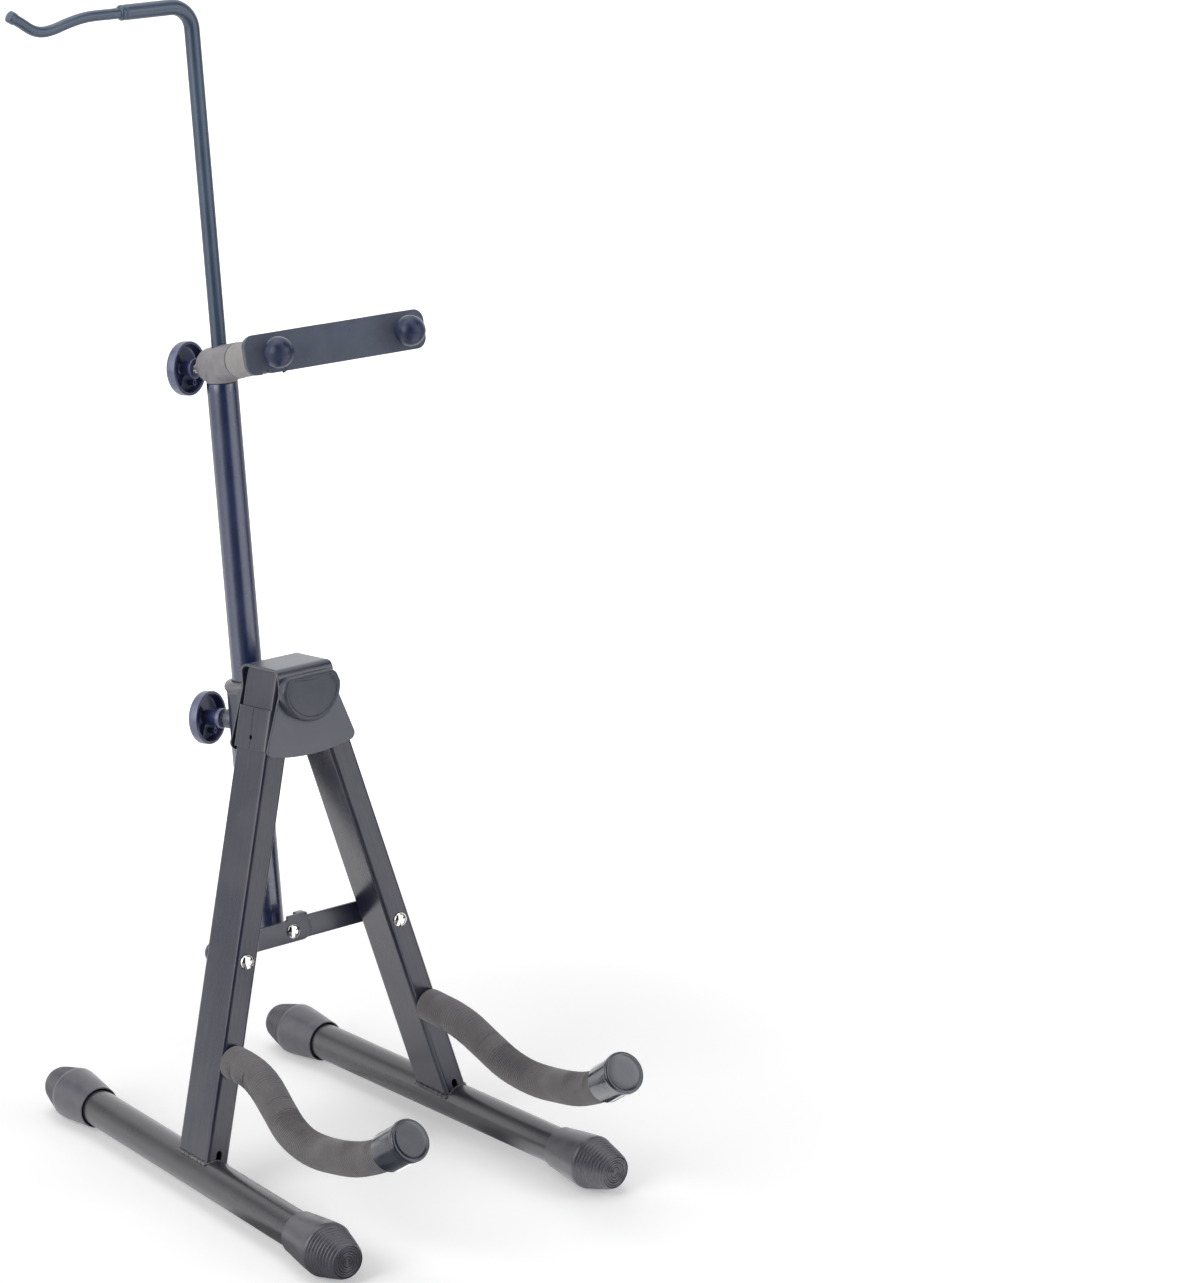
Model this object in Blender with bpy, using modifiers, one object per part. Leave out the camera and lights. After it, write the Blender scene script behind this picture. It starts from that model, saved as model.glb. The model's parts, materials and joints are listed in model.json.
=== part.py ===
"""Folding stand for a violin, viola or ukulele, modelled in metres with +Z up.

The stand rests on two foot tubes with rubber caps. Two box-section legs lean back
in one plane and hinge in a folded head bracket. A two-link brace locks them apart.
A post slides in a sleeve behind the bracket and carries the neck rest, and a thin
rod that ends in a bow hook slides and turns inside the post.
"""
import math

import bmesh
import bpy
from mathutils import Matrix, Vector

# Overall stance
LEAN = math.radians(6.0)
LEG_PLANE_Y = -0.0064
SPREAD = math.radians(15.6)
SEAT_GAP = 0.0003
RUN_GAP = 0.00008

# Foot tubes and caps
FOOT_LENGTH = 0.300
FOOT_RADIUS = 0.0104
FOOT_WALL = 0.0014
FOOT_MIDDLE_X = 0.0833
TOE_OUT = math.radians(2.53)
CAP_LENGTH = 0.0455
CAP_RING_RADIUS = 0.0149
CAP_RING_FROM_END = 0.0190
CAP_RING_BAND = 0.002
CAP_END_RADIUS = 0.0095
CAP_LIP_WALL = 0.0009
CAP_END_WALL = 0.009
CAP_FLAT_DEPTH = 0.0004

# Legs
LEG_WIDTH = 0.0143
LEG_DEPTH = 0.0292
LEG_CORNER = 0.0024
LEG_WALL = 0.0013
LEG_TOP_REACH = 0.0125
PIVOT_X = 0.0130
PIVOT_HEIGHT = 0.267
PIVOT_RADIUS = 0.0030
BAND_SHEET = 0.0015
BAND_TOP_DROP = 0.0068
BAND_LENGTH = 0.0227
BAND_SLIT = 0.0006
BAND_DROP_RADIUS = 0.0012
BAND_DROP_SHARE = 0.70

# Head bracket and pad
SHEET = 0.0015
BRACKET_TOP = 0.2840
BRACKET_TOP_HALF = 0.0181
BRACKET_SHOULDER = 0.2720
BRACKET_BOTTOM_HALF = 0.0291
BRACKET_SIDE_FOOT = 0.2405
BRACKET_BOTTOM = 0.2346
BRACKET_BEND = 0.0032
BRACKET_CORNER = 0.0035
PAD_HALF_WIDTH = 0.0193
PAD_CENTRE = 0.2728
PAD_TOP = 0.2800
PAD_THICKNESS = 0.0060
PAD_EDGE = 0.0028
PAD_CORNER = 0.0055
PAD_PEG_RADIUS = 0.0018
PAD_PEG_HEIGHTS = (0.2600, 0.2750)

# Rivets
RIVET_RADIUS = 0.0026
RIVET_HEAD_RADIUS = 0.0043
RIVET_HEAD_HEIGHT = 0.0024

# Brace
BRACE_HEIGHT = 0.1285
LINK_WIDTH = 0.0126
LINK_THICKNESS = 0.0020
LINK_END_REACH = 0.0125
LINK_LAYER_GAP = 0.0004
TAB_START = -0.0032
TAB_END = 0.0102
TAB_RISE = 0.0026
TAB_SHEET = 0.0016
TAB_OVERHANG = 0.0020
TAB_INSET = 0.0001
LIP_START = 0.0044  # the right link's round end swings past on the near side of it

# Post and sleeve
POST_BEHIND_LEGS = 0.0392
POST_RADIUS = 0.0086
POST_WALL = 0.0012
POST_BOTTOM = 0.1180
POST_TOP = 0.4342
SLEEVE_RADIUS = 0.0120
SLEEVE_WALL = 0.0016
SLEEVE_BOTTOM = 0.2200
SLEEVE_TOP = 0.2625
COLLAR_RADIUS = 0.0132
COLLAR_HEIGHT = 0.0062
SADDLE_HALF_WIDTH = 0.0105
SADDLE_SHEET = 0.0020
SADDLE_BOTTOM = 0.2370
SADDLE_TOP = 0.2600
PLUG_FLANGE = 0.0020
PLUG_DEPTH = 0.0120

# Clamp knobs
KNOB_RADIUS = 0.0149
KNOB_DEPTH = 0.0066
KNOB_WALL = 0.0016
KNOB_EDGE = 0.0026
KNOB_HUB_RADIUS = 0.0056
KNOB_HUB_NECK = 0.0040
KNOB_RIB = 0.0012
KNOB_RIBS = 3
KNOB_RIB_SHARE = 0.7
KNOB_STUD_RADIUS = 0.0025
KNOB_TURN = math.radians(22.0)
LOWER_KNOB_HEIGHT = 0.2455
LOWER_KNOB_RIM = 0.0262
LOWER_HUB_END = 0.0180
NUT_RADIUS = 0.0055
NUT_LENGTH = 0.0045
UPPER_KNOB_RIM = 0.0205
UPPER_KNOB_DROP = 0.0030
UPPER_KNOB_TURN = math.radians(20.0)

# Thin rod and bow hook
ROD_RADIUS = 0.0042
ROD_BEND = 0.0125
ROD_TOP = 0.6382
HOOK_TUBE_REACH = 0.0450
WIRE_RADIUS = 0.0029
WIRE_TIP_RADIUS = 0.0035
WIRE_TIP_LENGTH = 0.0045
GUIDE_LENGTH = 0.0140
HOOK_WIRE_POINTS = (
    (0.0350, 0.0000), (0.0500, -0.0001), (0.0620, -0.0001), (0.0700, -0.0009), (0.0780, -0.0026),
    (0.0860, -0.0047), (0.0930, -0.0054), (0.0990, -0.0038), (0.1060, 0.0008), (0.1115, 0.0042))

# Neck rest
NECK_YAW = math.radians(-2.1)
NECK_RISE = math.radians(10.0)
NECK_AXIS_HEIGHT = 0.4447
CLAMP_RADIUS = 0.0099
CLAMP_REAR = 0.0165
CLAMP_FRONT = 0.0200
CLAMP_REAR_ROUND = 0.0075
ARM_TUBE_RADIUS = 0.0045
ARM_FOAM_RADIUS = 0.0097
ARM_REACH = 0.1187
PLATE_TILT = math.radians(7.0)
PLATE_LENGTH = 0.1118
PLATE_HEIGHT = 0.0209
PLATE_CORNER = 0.0060
PLATE_SHEET = 0.0020
PLATE_PAD = 0.0020
BALL_SPACING = 0.0821
BALL_RADIUS = 0.0082
BALL_STANDOFF = 0.0084
PEG_RADIUS = 0.0025

# Support arms
ARM_START_HEIGHT = 0.0757
ARM_ROD_RADIUS = 0.0040
FOAM_RADIUS = 0.0093
ARM_CAP_RADIUS = 0.0110
ARM_CAP_RIM = 0.0118
ARM_CAP_LENGTH = 0.0220
ARM_CAP_RIM_LENGTH = 0.0035
ARM_POINTS = (
    (0.0000, -0.0118, 0.0000), (0.0007, -0.0237, -0.0010), (0.0022, -0.0355, -0.0042),
    (0.0045, -0.0493, -0.0108), (0.0066, -0.0621, -0.0168), (0.0080, -0.0749, -0.0196),
    (0.0087, -0.0887, -0.0198), (0.0088, -0.1045, -0.0176), (0.0080, -0.1242, -0.0130),
    (0.0068, -0.1410, -0.0060), (0.0056, -0.1538, 0.0020), (0.0045, -0.1676, 0.0115))

# Mesh fineness
ROUND = 24
FINE = 16
DOME_STEPS = 3
BALL_STEPS = 9
ARM_STATIONS = 22
WIRE_STATIONS = 22
SLIM = 12

PARTS = "violin_stand"
CUTTERS = "cutters"
LEFT = -1
RIGHT = 1
SIDE_NAMES = {LEFT: "left", RIGHT: "right"}


# Scene helpers

def clear_scene():
    """Remove every object so that the model starts from nothing."""
    for item in list(bpy.data.objects):
        bpy.data.objects.remove(item, do_unlink=True)


def collection(name):
    """Return the named collection, made under the scene if it is new."""
    found = bpy.data.collections.get(name)
    if found is None:
        found = bpy.data.collections.new(name)
        bpy.context.scene.collection.children.link(found)
    return found


def material(name, colour, roughness, metallic=0.0):
    """Return a Principled material with one colour, roughness and metallic value."""
    made = bpy.data.materials.get(name)
    if made is None:
        made = bpy.data.materials.new(name)
        made.use_nodes = True
        shader = made.node_tree.nodes["Principled BSDF"]
        shader.inputs["Base Color"].default_value = (*colour, 1.0)
        shader.inputs["Roughness"].default_value = roughness
        shader.inputs["Metallic"].default_value = metallic
    return made


def powder_coat():
    return material("powder_coat", (0.055, 0.058, 0.068), 0.42)


def black_plastic():
    return material("black_plastic", (0.030, 0.031, 0.036), 0.35)


def grey_plastic():
    return material("grey_plastic", (0.16, 0.155, 0.155), 0.60)


def rubber():
    return material("rubber", (0.045, 0.045, 0.048), 0.80)


def foam():
    return material("foam", (0.075, 0.068, 0.064), 0.95)


def gloss_plastic():
    return material("gloss_plastic", (0.035, 0.037, 0.042), 0.15)


def nickel():
    return material("nickel", (0.62, 0.60, 0.57), 0.25, 1.0)


def move(x=0.0, y=0.0, z=0.0):
    """Return a translation."""
    return Matrix.Translation((x, y, z))


def turn(angle, axis):
    """Return a rotation about one axis."""
    return Matrix.Rotation(angle, 4, axis)


def along(start, direction):
    """Return a frame at start whose Z axis points along direction."""
    return Matrix.Translation(start) @ Vector(direction).to_track_quat("Z", "Y").to_matrix().to_4x4()


def register(obj, finish, frame, smooth=True):
    """Place an object, give it its finish and put it in the parts collection."""
    collection(PARTS).objects.link(obj)
    obj.matrix_world = frame
    if finish is not None:
        obj.data.materials.append(finish)
    if smooth and obj.type == "MESH":
        obj.data.shade_smooth()
        obj.data.set_sharp_from_angle(angle=math.radians(35))
    return obj


def as_cutter(obj):
    """Move an object to the cutters collection and show it as wire."""
    for owner in list(obj.users_collection):
        owner.objects.unlink(obj)
    collection(CUTTERS).objects.link(obj)
    obj.hide_render = True
    obj.display_type = "WIRE"
    return obj


def boolean(target, tool, operation="DIFFERENCE"):
    """Add an exact Boolean with a cutter to an object."""
    modifier = target.modifiers.new(operation.lower(), "BOOLEAN")
    modifier.operation = operation
    modifier.object = as_cutter(tool)
    modifier.solver = "EXACT"
    return target


def bevel(obj, width, segments=3, angle=40.0):
    """Round the edges that are sharper than angle."""
    modifier = obj.modifiers.new("bevel", "BEVEL")
    modifier.width = width
    modifier.segments = segments
    modifier.limit_method = "ANGLE"
    modifier.angle_limit = math.radians(angle)
    return obj


# Shapes

def arc(centre, radius, start, end, count):
    """Return points along an arc, angles in degrees, both ends included."""
    points = []
    for index in range(count + 1):
        angle = math.radians(start + (end - start) * index / count)
        points.append((centre[0] + radius * math.cos(angle), centre[1] + radius * math.sin(angle)))
    return points


def circle(centre, radius, count=FINE):
    """Return the points of a full circle."""
    return arc(centre, radius, 0, 360, count)[:-1]


def rounded_rectangle(half_x, half_y, radius, count=3):
    """Return the outline of a rectangle with round corners, anticlockwise."""
    x, y = half_x - radius, half_y - radius
    return (arc((x, y), radius, 0, 90, count) + arc((-x, y), radius, 90, 180, count)
            + arc((-x, -y), radius, 180, 270, count) + arc((x, -y), radius, 270, 360, count))


def turned(name, profile, finish, frame, steps=ROUND, closed=False):
    """Turn a profile of (radius, z) points about Z; the outer side runs downwards."""
    mesh = bpy.data.meshes.new(name)
    count = len(profile)
    edges = [(index, index + 1) for index in range(count - 1)]
    if closed:
        edges.append((count - 1, 0))
    mesh.from_pydata([(radius, 0.0, z) for radius, z in profile], edges, [])
    obj = register(bpy.data.objects.new(name, mesh), finish, frame, smooth=False)
    screw = obj.modifiers.new("turn", "SCREW")
    screw.axis = "Z"
    screw.steps = steps
    screw.render_steps = steps
    screw.use_merge_vertices = True
    screw.merge_threshold = 0.00001
    screw.use_smooth_shade = True
    return obj


def solid_profile(points):
    """Close a profile onto the axis at both ends."""
    return [(0.0, points[0][1])] + list(points) + [(0.0, points[-1][1])]


def rod(name, radius, length, finish, frame, steps=ROUND):
    """Return a solid cylinder from z = 0 to z = length."""
    profile = solid_profile([(radius, length), (radius, 0.0)])
    return turned(name, profile, finish, frame, steps)


def pipe(name, outer, inner, low, high, finish, frame, steps=ROUND):
    """Return a straight tube from z = low to z = high."""
    profile = [(outer, high), (outer, low), (inner, low), (inner, high)]
    return turned(name, profile, finish, frame, steps, closed=True)


def to_mesh(curve_obj, finish, smooth=True):
    """Replace a curve object with its mesh, welding the caps."""
    bpy.context.view_layer.update()
    graph = bpy.context.evaluated_depsgraph_get()
    mesh = bpy.data.meshes.new_from_object(curve_obj.evaluated_get(graph))
    welded = bmesh.new()
    welded.from_mesh(mesh)
    bmesh.ops.remove_doubles(welded, verts=welded.verts, dist=0.000001)
    bmesh.ops.recalc_face_normals(welded, faces=welded.faces)
    welded.to_mesh(mesh)
    welded.free()
    name, frame = curve_obj.name, curve_obj.matrix_world.copy()
    bpy.data.objects.remove(curve_obj, do_unlink=True)
    mesh.materials.clear()
    return register(bpy.data.objects.new(name, mesh), finish, frame, smooth)


def slab(name, outlines, thickness, finish, frame):
    """Extrude flat outlines, the first outside and the others as holes, about z = 0."""
    curve = bpy.data.curves.new(name, "CURVE")
    curve.dimensions = "2D"
    curve.fill_mode = "BOTH"
    curve.extrude = thickness / 2
    for outline in outlines:
        spline = curve.splines.new("POLY")
        spline.points.add(len(outline) - 1)
        for point, (x, y) in zip(spline.points, outline):
            point.co = (x, y, 0.0, 1.0)
        spline.use_cyclic_u = True
    obj = bpy.data.objects.new(name, curve)
    collection(PARTS).objects.link(obj)
    obj.matrix_world = frame
    return to_mesh(obj, finish)


def smooth_path(points, count):
    """Return count points on a Catmull-Rom curve through the given points."""
    ends = [points[0] * 2 - points[1]] + points + [points[-1] * 2 - points[-2]]
    path = []
    for index in range(count):
        place = index / (count - 1) * (len(points) - 1)
        knot = min(int(place), len(points) - 2)
        step = place - knot
        a, b, c, d = ends[knot:knot + 4]
        path.append(0.5 * (2 * b + (c - a) * step + (2 * a - 5 * b + 4 * c - d) * step ** 2
                           + (3 * b - a - 3 * c + d) * step ** 3))
    return path


def swept(name, path, radius, finish, frame, sides=16, caps=True):
    """Carry a circle along a path of points."""
    curve = bpy.data.curves.new(name, "CURVE")
    curve.dimensions = "3D"
    curve.bevel_depth = radius
    curve.bevel_resolution = (sides - 4) // 2
    curve.use_fill_caps = caps
    spline = curve.splines.new("POLY")
    spline.points.add(len(path) - 1)
    for point, place in zip(spline.points, path):
        point.co = (*place, 1.0)
    obj = bpy.data.objects.new(name, curve)
    collection(PARTS).objects.link(obj)
    obj.matrix_world = frame
    return to_mesh(obj, finish)


def swept_pipe(name, path, radius, wall, finish, frame, sides=16):
    """Carry a ring along a path: an open tube given its wall inwards."""
    obj = swept(name, path, radius, finish, frame, sides, caps=False)
    modifier = obj.modifiers.new("wall", "SOLIDIFY")
    modifier.thickness = wall
    modifier.offset = -1.0
    modifier.use_even_offset = True
    return obj


def box(name, size, finish, frame):
    """Return a box centred on the frame's origin."""
    mesh = bpy.data.meshes.new(name)
    shape = bmesh.new()
    bmesh.ops.create_cube(shape, size=1.0, matrix=Matrix.Diagonal((*size, 1.0)))
    shape.to_mesh(mesh)
    shape.free()
    return register(bpy.data.objects.new(name, mesh), finish, frame, smooth=False)


# Frames

def lean_frame():
    """Return the frame of the leaning leg plane: X across, Y back, Z up the plane."""
    return move(y=LEG_PLANE_Y) @ turn(-LEAN, "X")


def leg_frame(side):
    """Return the frame of one leg: origin on its pivot, Z up the leg."""
    return lean_frame() @ move(x=side * PIVOT_X, z=PIVOT_HEIGHT) @ turn(-side * SPREAD, "Y")


def rod_foot():
    """Return the height of the thin rod's foot when its guide is right under the top bush."""
    return POST_TOP - PLUG_DEPTH - SEAT_GAP


def foot_axis_height():
    """Return the height of a foot tube's axis above the floor."""
    return CAP_RING_RADIUS - CAP_FLAT_DEPTH


def foot_frame(side):
    """Return the frame of one foot tube: Z forward along it, origin at mid length."""
    place = move(x=side * FOOT_MIDDLE_X, z=foot_axis_height())
    return place @ turn(side * TOE_OUT, "Z") @ turn(math.radians(90), "X")


def post_frame():
    """Return the frame of the post: Z up its axis from the floor's level."""
    return lean_frame() @ move(y=POST_BEHIND_LEGS)


def knob_frame(height, angle):
    """Return a knob's frame: Z out from the post's axis, behind it and to the left."""
    return post_frame() @ move(z=height) @ turn(angle, "Z") @ turn(math.radians(-90), "X")


def neck_frame():
    """Return the frame of the neck arm: Z forward along the arm from the post's axis."""
    place = post_frame() @ move(z=NECK_AXIS_HEIGHT) @ turn(NECK_YAW, "Z")
    return place @ turn(math.radians(90) - NECK_RISE, "X")


def leg_drop(height):
    """Return the distance down the leg from its pivot to a height in the leg plane."""
    return (PIVOT_HEIGHT - height) / math.cos(SPREAD)


def leg_half_depth():
    return LEG_DEPTH / 2


def bracket_inner():
    """Return the half depth inside the bracket, clear of the bands."""
    return leg_half_depth() + SEAT_GAP + BAND_SHEET + SEAT_GAP


def bracket_outer():
    return bracket_inner() + SHEET


def brace_reach():
    """Return the distance from the stand's middle to a leg's brace rivet."""
    return PIVOT_X + (PIVOT_HEIGHT - BRACE_HEIGHT) * math.tan(SPREAD)


# Head

def rivet_profile(radius, head_radius, head_height, grip):
    """Return a rivet's profile: domed heads beyond each end of the grip."""
    dome = [math.pi / 2 * index / DOME_STEPS for index in range(1, DOME_STEPS + 1)]
    upper = [(head_radius * math.sin(a), grip + head_height * math.cos(a)) for a in dome]
    lower = [(head_radius * math.sin(a), -head_height * math.cos(a)) for a in reversed(dome)]
    return ([(0.0, grip + head_height)] + upper + [(radius, grip), (radius, 0.0)] + lower
            + [(0.0, -head_height)])


def across_frame(x, y, height):
    """Return a frame in the leg plane whose Z axis points to the rear."""
    return lean_frame() @ move(x=x, y=y, z=height) @ turn(math.radians(-90), "X")


def bracket_outline():
    """Return the bracket's front view, anticlockwise from the lower right."""
    corner = BRACKET_CORNER
    half_top, half_low = BRACKET_TOP_HALF, BRACKET_BOTTOM_HALF
    right = [(half_low - 0.0022, BRACKET_SIDE_FOOT - 0.0028), (half_low - 0.0004, BRACKET_SIDE_FOOT - 0.0010),
             (half_low, BRACKET_SIDE_FOOT + 0.0012), (half_top + 0.0006, BRACKET_SHOULDER - 0.002),
             (half_top, BRACKET_SHOULDER)]
    right += arc((half_top - corner, BRACKET_TOP - corner), corner, 0, 90, 4)
    left = [(-x, z) for x, z in reversed(right)]
    sag_from = right[0]
    bottom = []
    for index in range(1, 12):
        share = index / 12
        x = -sag_from[0] + 2 * sag_from[0] * share
        drop = (sag_from[1] - BRACKET_BOTTOM) * (1 - (2 * share - 1) ** 2)
        bottom.append((x, sag_from[1] - drop))
    return right + left + bottom


def head_bracket():
    """Make the folded sheet that holds both leg pivots between its two plates."""
    outer, inner = bracket_outer(), bracket_inner()
    bend = BRACKET_BEND
    roof = BRACKET_TOP
    low = BRACKET_BOTTOM - 0.01
    profile = ([(-outer, low), (-inner, low)]
               + arc((-inner + bend - SHEET, roof - bend), bend - SHEET, 180, 90, 3)
               + arc((inner - bend + SHEET, roof - bend), bend - SHEET, 90, 0, 3)
               + [(inner, low), (outer, low)]
               + arc((outer - bend, roof - bend), bend, 0, 90, 3)
               + arc((-outer + bend, roof - bend), bend, 90, 180, 3))
    side_view = lean_frame() @ turn(math.radians(90), "Z") @ turn(math.radians(90), "X")
    body = slab("head_bracket", [profile], 0.1, powder_coat(), side_view)
    front_view = lean_frame() @ turn(math.radians(90), "X")
    boolean(body, slab("bracket_outline", [bracket_outline()], 0.08, None, front_view), "INTERSECT")
    for side in (LEFT, RIGHT):
        hole = rod("bracket_pivot_hole_" + SIDE_NAMES[side], PIVOT_RADIUS + SEAT_GAP, 3 * outer, None,
                   across_frame(side * PIVOT_X, -1.5 * outer, PIVOT_HEIGHT), FINE)
        boolean(body, hole)
    for index, height in enumerate(PAD_PEG_HEIGHTS):
        hole = rod(f"bracket_peg_hole_{index}", PAD_PEG_RADIUS + SEAT_GAP, outer, None,
                   across_frame(0.0, -1.5 * outer, height), FINE)
        boolean(body, hole)
    return body


def pad_outline():
    """Return the pad's front view: a half circle below, a flat top with round corners."""
    half, corner = PAD_HALF_WIDTH, PAD_CORNER
    lower = arc((0.0, PAD_CENTRE), half, 180, 360, 20)
    right = arc((half - corner - 0.0010, PAD_TOP - corner), corner, 20, 90, 4)
    left = [(-x, z) for x, z in reversed(right)]
    return lower + right + left


def head_pad():
    """Make the rubber pad that covers the pivot heads on the bracket's front."""
    front_view = lean_frame() @ turn(math.radians(90), "X")
    face = bracket_outer() + SEAT_GAP
    body = slab("head_pad", [pad_outline()], PAD_THICKNESS, rubber(), front_view @ move(z=face + PAD_THICKNESS / 2))
    bevel(body, PAD_EDGE, 3, 60)
    for side in (LEFT, RIGHT):
        pocket = rod("pad_pocket_" + SIDE_NAMES[side], RIVET_HEAD_RADIUS + 2 * SEAT_GAP,
                     RIVET_HEAD_HEIGHT + 3 * SEAT_GAP, None,
                     front_view @ move(x=side * PIVOT_X, y=PIVOT_HEIGHT, z=face - SEAT_GAP), FINE)
        boolean(body, pocket)
    for index, height in enumerate(PAD_PEG_HEIGHTS):
        peg = rod(f"pad_peg_{index}", PAD_PEG_RADIUS, SHEET + 2 * SEAT_GAP + 0.001, None,
                  front_view @ move(y=height, z=face - SHEET - 2 * SEAT_GAP), FINE)
        boolean(body, peg, "UNION")
    return body


def leg_pivot(side):
    """Make one domed rivet through both bracket plates, on which a leg turns."""
    grip = 2 * (bracket_outer() + SEAT_GAP)
    frame = across_frame(side * PIVOT_X, -grip / 2, PIVOT_HEIGHT)
    profile = rivet_profile(PIVOT_RADIUS, RIVET_HEAD_RADIUS, RIVET_HEAD_HEIGHT, grip)
    return turned(SIDE_NAMES[side] + "_leg_pivot", profile, nickel(), frame, FINE)


# Sleeve

def post_sleeve():
    """Make the short steel sleeve, with a side hole for the clamp stud."""
    body = pipe("post_sleeve", SLEEVE_RADIUS, SLEEVE_RADIUS - SLEEVE_WALL, SLEEVE_BOTTOM, SLEEVE_TOP,
                powder_coat(), post_frame())
    hole = rod("sleeve_stud_hole", KNOB_STUD_RADIUS + SEAT_GAP, 2 * SLEEVE_RADIUS, None,
               knob_frame(LOWER_KNOB_HEIGHT, KNOB_TURN), FINE)
    boolean(body, hole)
    return body


def sleeve_bush():
    """Make the plastic bush that lines the sleeve and ends in a round collar."""
    inner = POST_RADIUS + RUN_GAP
    liner = SLEEVE_RADIUS - SLEEVE_WALL - SEAT_GAP
    low = SLEEVE_BOTTOM + 0.001
    seat = SLEEVE_TOP + SEAT_GAP
    top = seat + COLLAR_HEIGHT
    edge = COLLAR_HEIGHT / 2
    rim = [(COLLAR_RADIUS - edge + x, y + seat + edge) for x, y in arc((0.0, 0.0), edge, 90, -90, 6)]
    profile = [(inner, top)] + rim + [(liner, seat), (liner, low), (inner, low)]
    body = turned("sleeve_bush", profile, grey_plastic(), post_frame(), closed=True)
    hole = rod("bush_stud_hole", KNOB_STUD_RADIUS + SEAT_GAP, 2 * SLEEVE_RADIUS, None,
               knob_frame(LOWER_KNOB_HEIGHT, KNOB_TURN), FINE)
    boolean(body, hole)
    return body


def sleeve_saddle():
    """Make the folded channel that joins the sleeve to the bracket's rear plate."""
    half, sheet = SADDLE_HALF_WIDTH, SADDLE_SHEET
    front = bracket_outer() + SEAT_GAP
    rear = POST_BEHIND_LEGS
    outline = [(-half, front), (half, front), (half, rear), (half - sheet, rear),
               (half - sheet, front + sheet), (-half + sheet, front + sheet), (-half + sheet, rear), (-half, rear)]
    middle = (SADDLE_TOP + SADDLE_BOTTOM) / 2
    body = slab("sleeve_saddle", [outline], SADDLE_TOP - SADDLE_BOTTOM, powder_coat(), lean_frame() @ move(z=middle))
    seat = rod("saddle_seat", SLEEVE_RADIUS + SEAT_GAP, SADDLE_TOP, None, post_frame() @ move(z=SADDLE_BOTTOM / 2))
    boolean(body, seat)
    return body


def sleeve_nut():
    """Make the weld nut on the sleeve that the clamp stud screws through."""
    start = SLEEVE_RADIUS - 0.0005
    length = NUT_LENGTH
    body = pipe("sleeve_nut", NUT_RADIUS, KNOB_STUD_RADIUS + SEAT_GAP, start, start + length, powder_coat(),
                knob_frame(LOWER_KNOB_HEIGHT, KNOB_TURN), FINE)
    boolean(body, rod("nut_seat", SLEEVE_RADIUS + SEAT_GAP, SLEEVE_TOP, None, post_frame() @ move(z=SLEEVE_BOTTOM / 2)))
    return body


# Knobs

def knob(name, rim, hub_end, frame):
    """Make a cup-shaped knob: its hollow side faces the post, with a hub inside."""
    back = rim + KNOB_DEPTH
    edge = KNOB_EDGE
    inner = KNOB_RADIUS - KNOB_WALL
    floor = back - KNOB_WALL
    bore = KNOB_STUD_RADIUS + SEAT_GAP
    rounded = [(KNOB_RADIUS - edge + x, back - edge + y) for x, y in arc((0.0, 0.0), edge, 90, 0, 4)]
    profile = ([(0.0, back)] + rounded + [(KNOB_RADIUS, rim), (inner, rim), (inner - 0.0008, floor),
               (KNOB_HUB_NECK, floor), (KNOB_HUB_RADIUS, hub_end), (bore, hub_end), (bore, floor - 0.0005),
               (0.0, floor - 0.0005)])
    body = turned(name, profile, black_plastic(), frame)
    start, end = KNOB_HUB_NECK - KNOB_RIB, inner + KNOB_WALL / 2
    height = KNOB_RIB_SHARE * (floor - rim)
    for index in range(KNOB_RIBS):
        place = turn(2 * math.pi * index / KNOB_RIBS, "Z") @ move(x=(start + end) / 2, z=floor - height / 2)
        web = box(f"{name}_rib_{index}", (end - start, KNOB_RIB, height + KNOB_WALL), None, frame @ place)
        boolean(body, web, "UNION")
    return body


def knob_stud(name, tip, rim, frame):
    """Make the threaded stud that the knob drives against the post or rod."""
    end = rim + KNOB_DEPTH - 2 * KNOB_WALL - 0.001
    return rod(name, KNOB_STUD_RADIUS, end - tip, nickel(), frame @ move(z=tip), FINE)


def lower_knob():
    frame = knob_frame(LOWER_KNOB_HEIGHT, KNOB_TURN)
    return [knob("lower_knob", LOWER_KNOB_RIM, LOWER_HUB_END, frame),
            knob_stud("lower_knob_stud", POST_RADIUS + SEAT_GAP, LOWER_KNOB_RIM, frame)]


def upper_knob():
    frame = knob_frame(NECK_AXIS_HEIGHT - UPPER_KNOB_DROP, UPPER_KNOB_TURN)
    hub_end = CLAMP_REAR + SEAT_GAP
    return [knob("upper_knob", UPPER_KNOB_RIM, hub_end, frame),
            knob_stud("upper_knob_stud", ROD_RADIUS + SEAT_GAP, UPPER_KNOB_RIM, frame)]


# Legs and feet

def leg_tube(side):
    """Make a box-section leg, saddled onto its foot tube."""
    name = SIDE_NAMES[side] + "_leg_tube"
    outer = rounded_rectangle(LEG_WIDTH / 2, LEG_DEPTH / 2, LEG_CORNER)
    inner = rounded_rectangle(LEG_WIDTH / 2 - LEG_WALL, LEG_DEPTH / 2 - LEG_WALL, LEG_CORNER - LEG_WALL / 2)
    bottom = leg_drop(0.0)
    length = LEG_TOP_REACH + bottom
    body = slab(name, [outer, inner], length, powder_coat(), leg_frame(side) @ move(z=LEG_TOP_REACH - length / 2))
    boolean(body, foot_cut(side))
    across = leg_frame(side) @ turn(math.radians(90), "X")
    pivot = rod(name + "_pivot_hole", PIVOT_RADIUS + RUN_GAP, 2 * LEG_DEPTH, None, across @ move(z=-LEG_DEPTH), FINE)
    boolean(body, pivot)
    rivet = rod(name + "_rivet_hole", RIVET_RADIUS + SEAT_GAP, 2 * LEG_DEPTH, None,
                across @ move(y=-leg_drop(BRACE_HEIGHT), z=-LEG_DEPTH), FINE)
    boolean(body, rivet)
    arm = rod(name + "_arm_hole", ARM_ROD_RADIUS + SEAT_GAP, LEG_DEPTH, None,
              across @ move(y=-leg_drop(ARM_START_HEIGHT)), FINE)
    boolean(body, arm)
    return body


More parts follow.
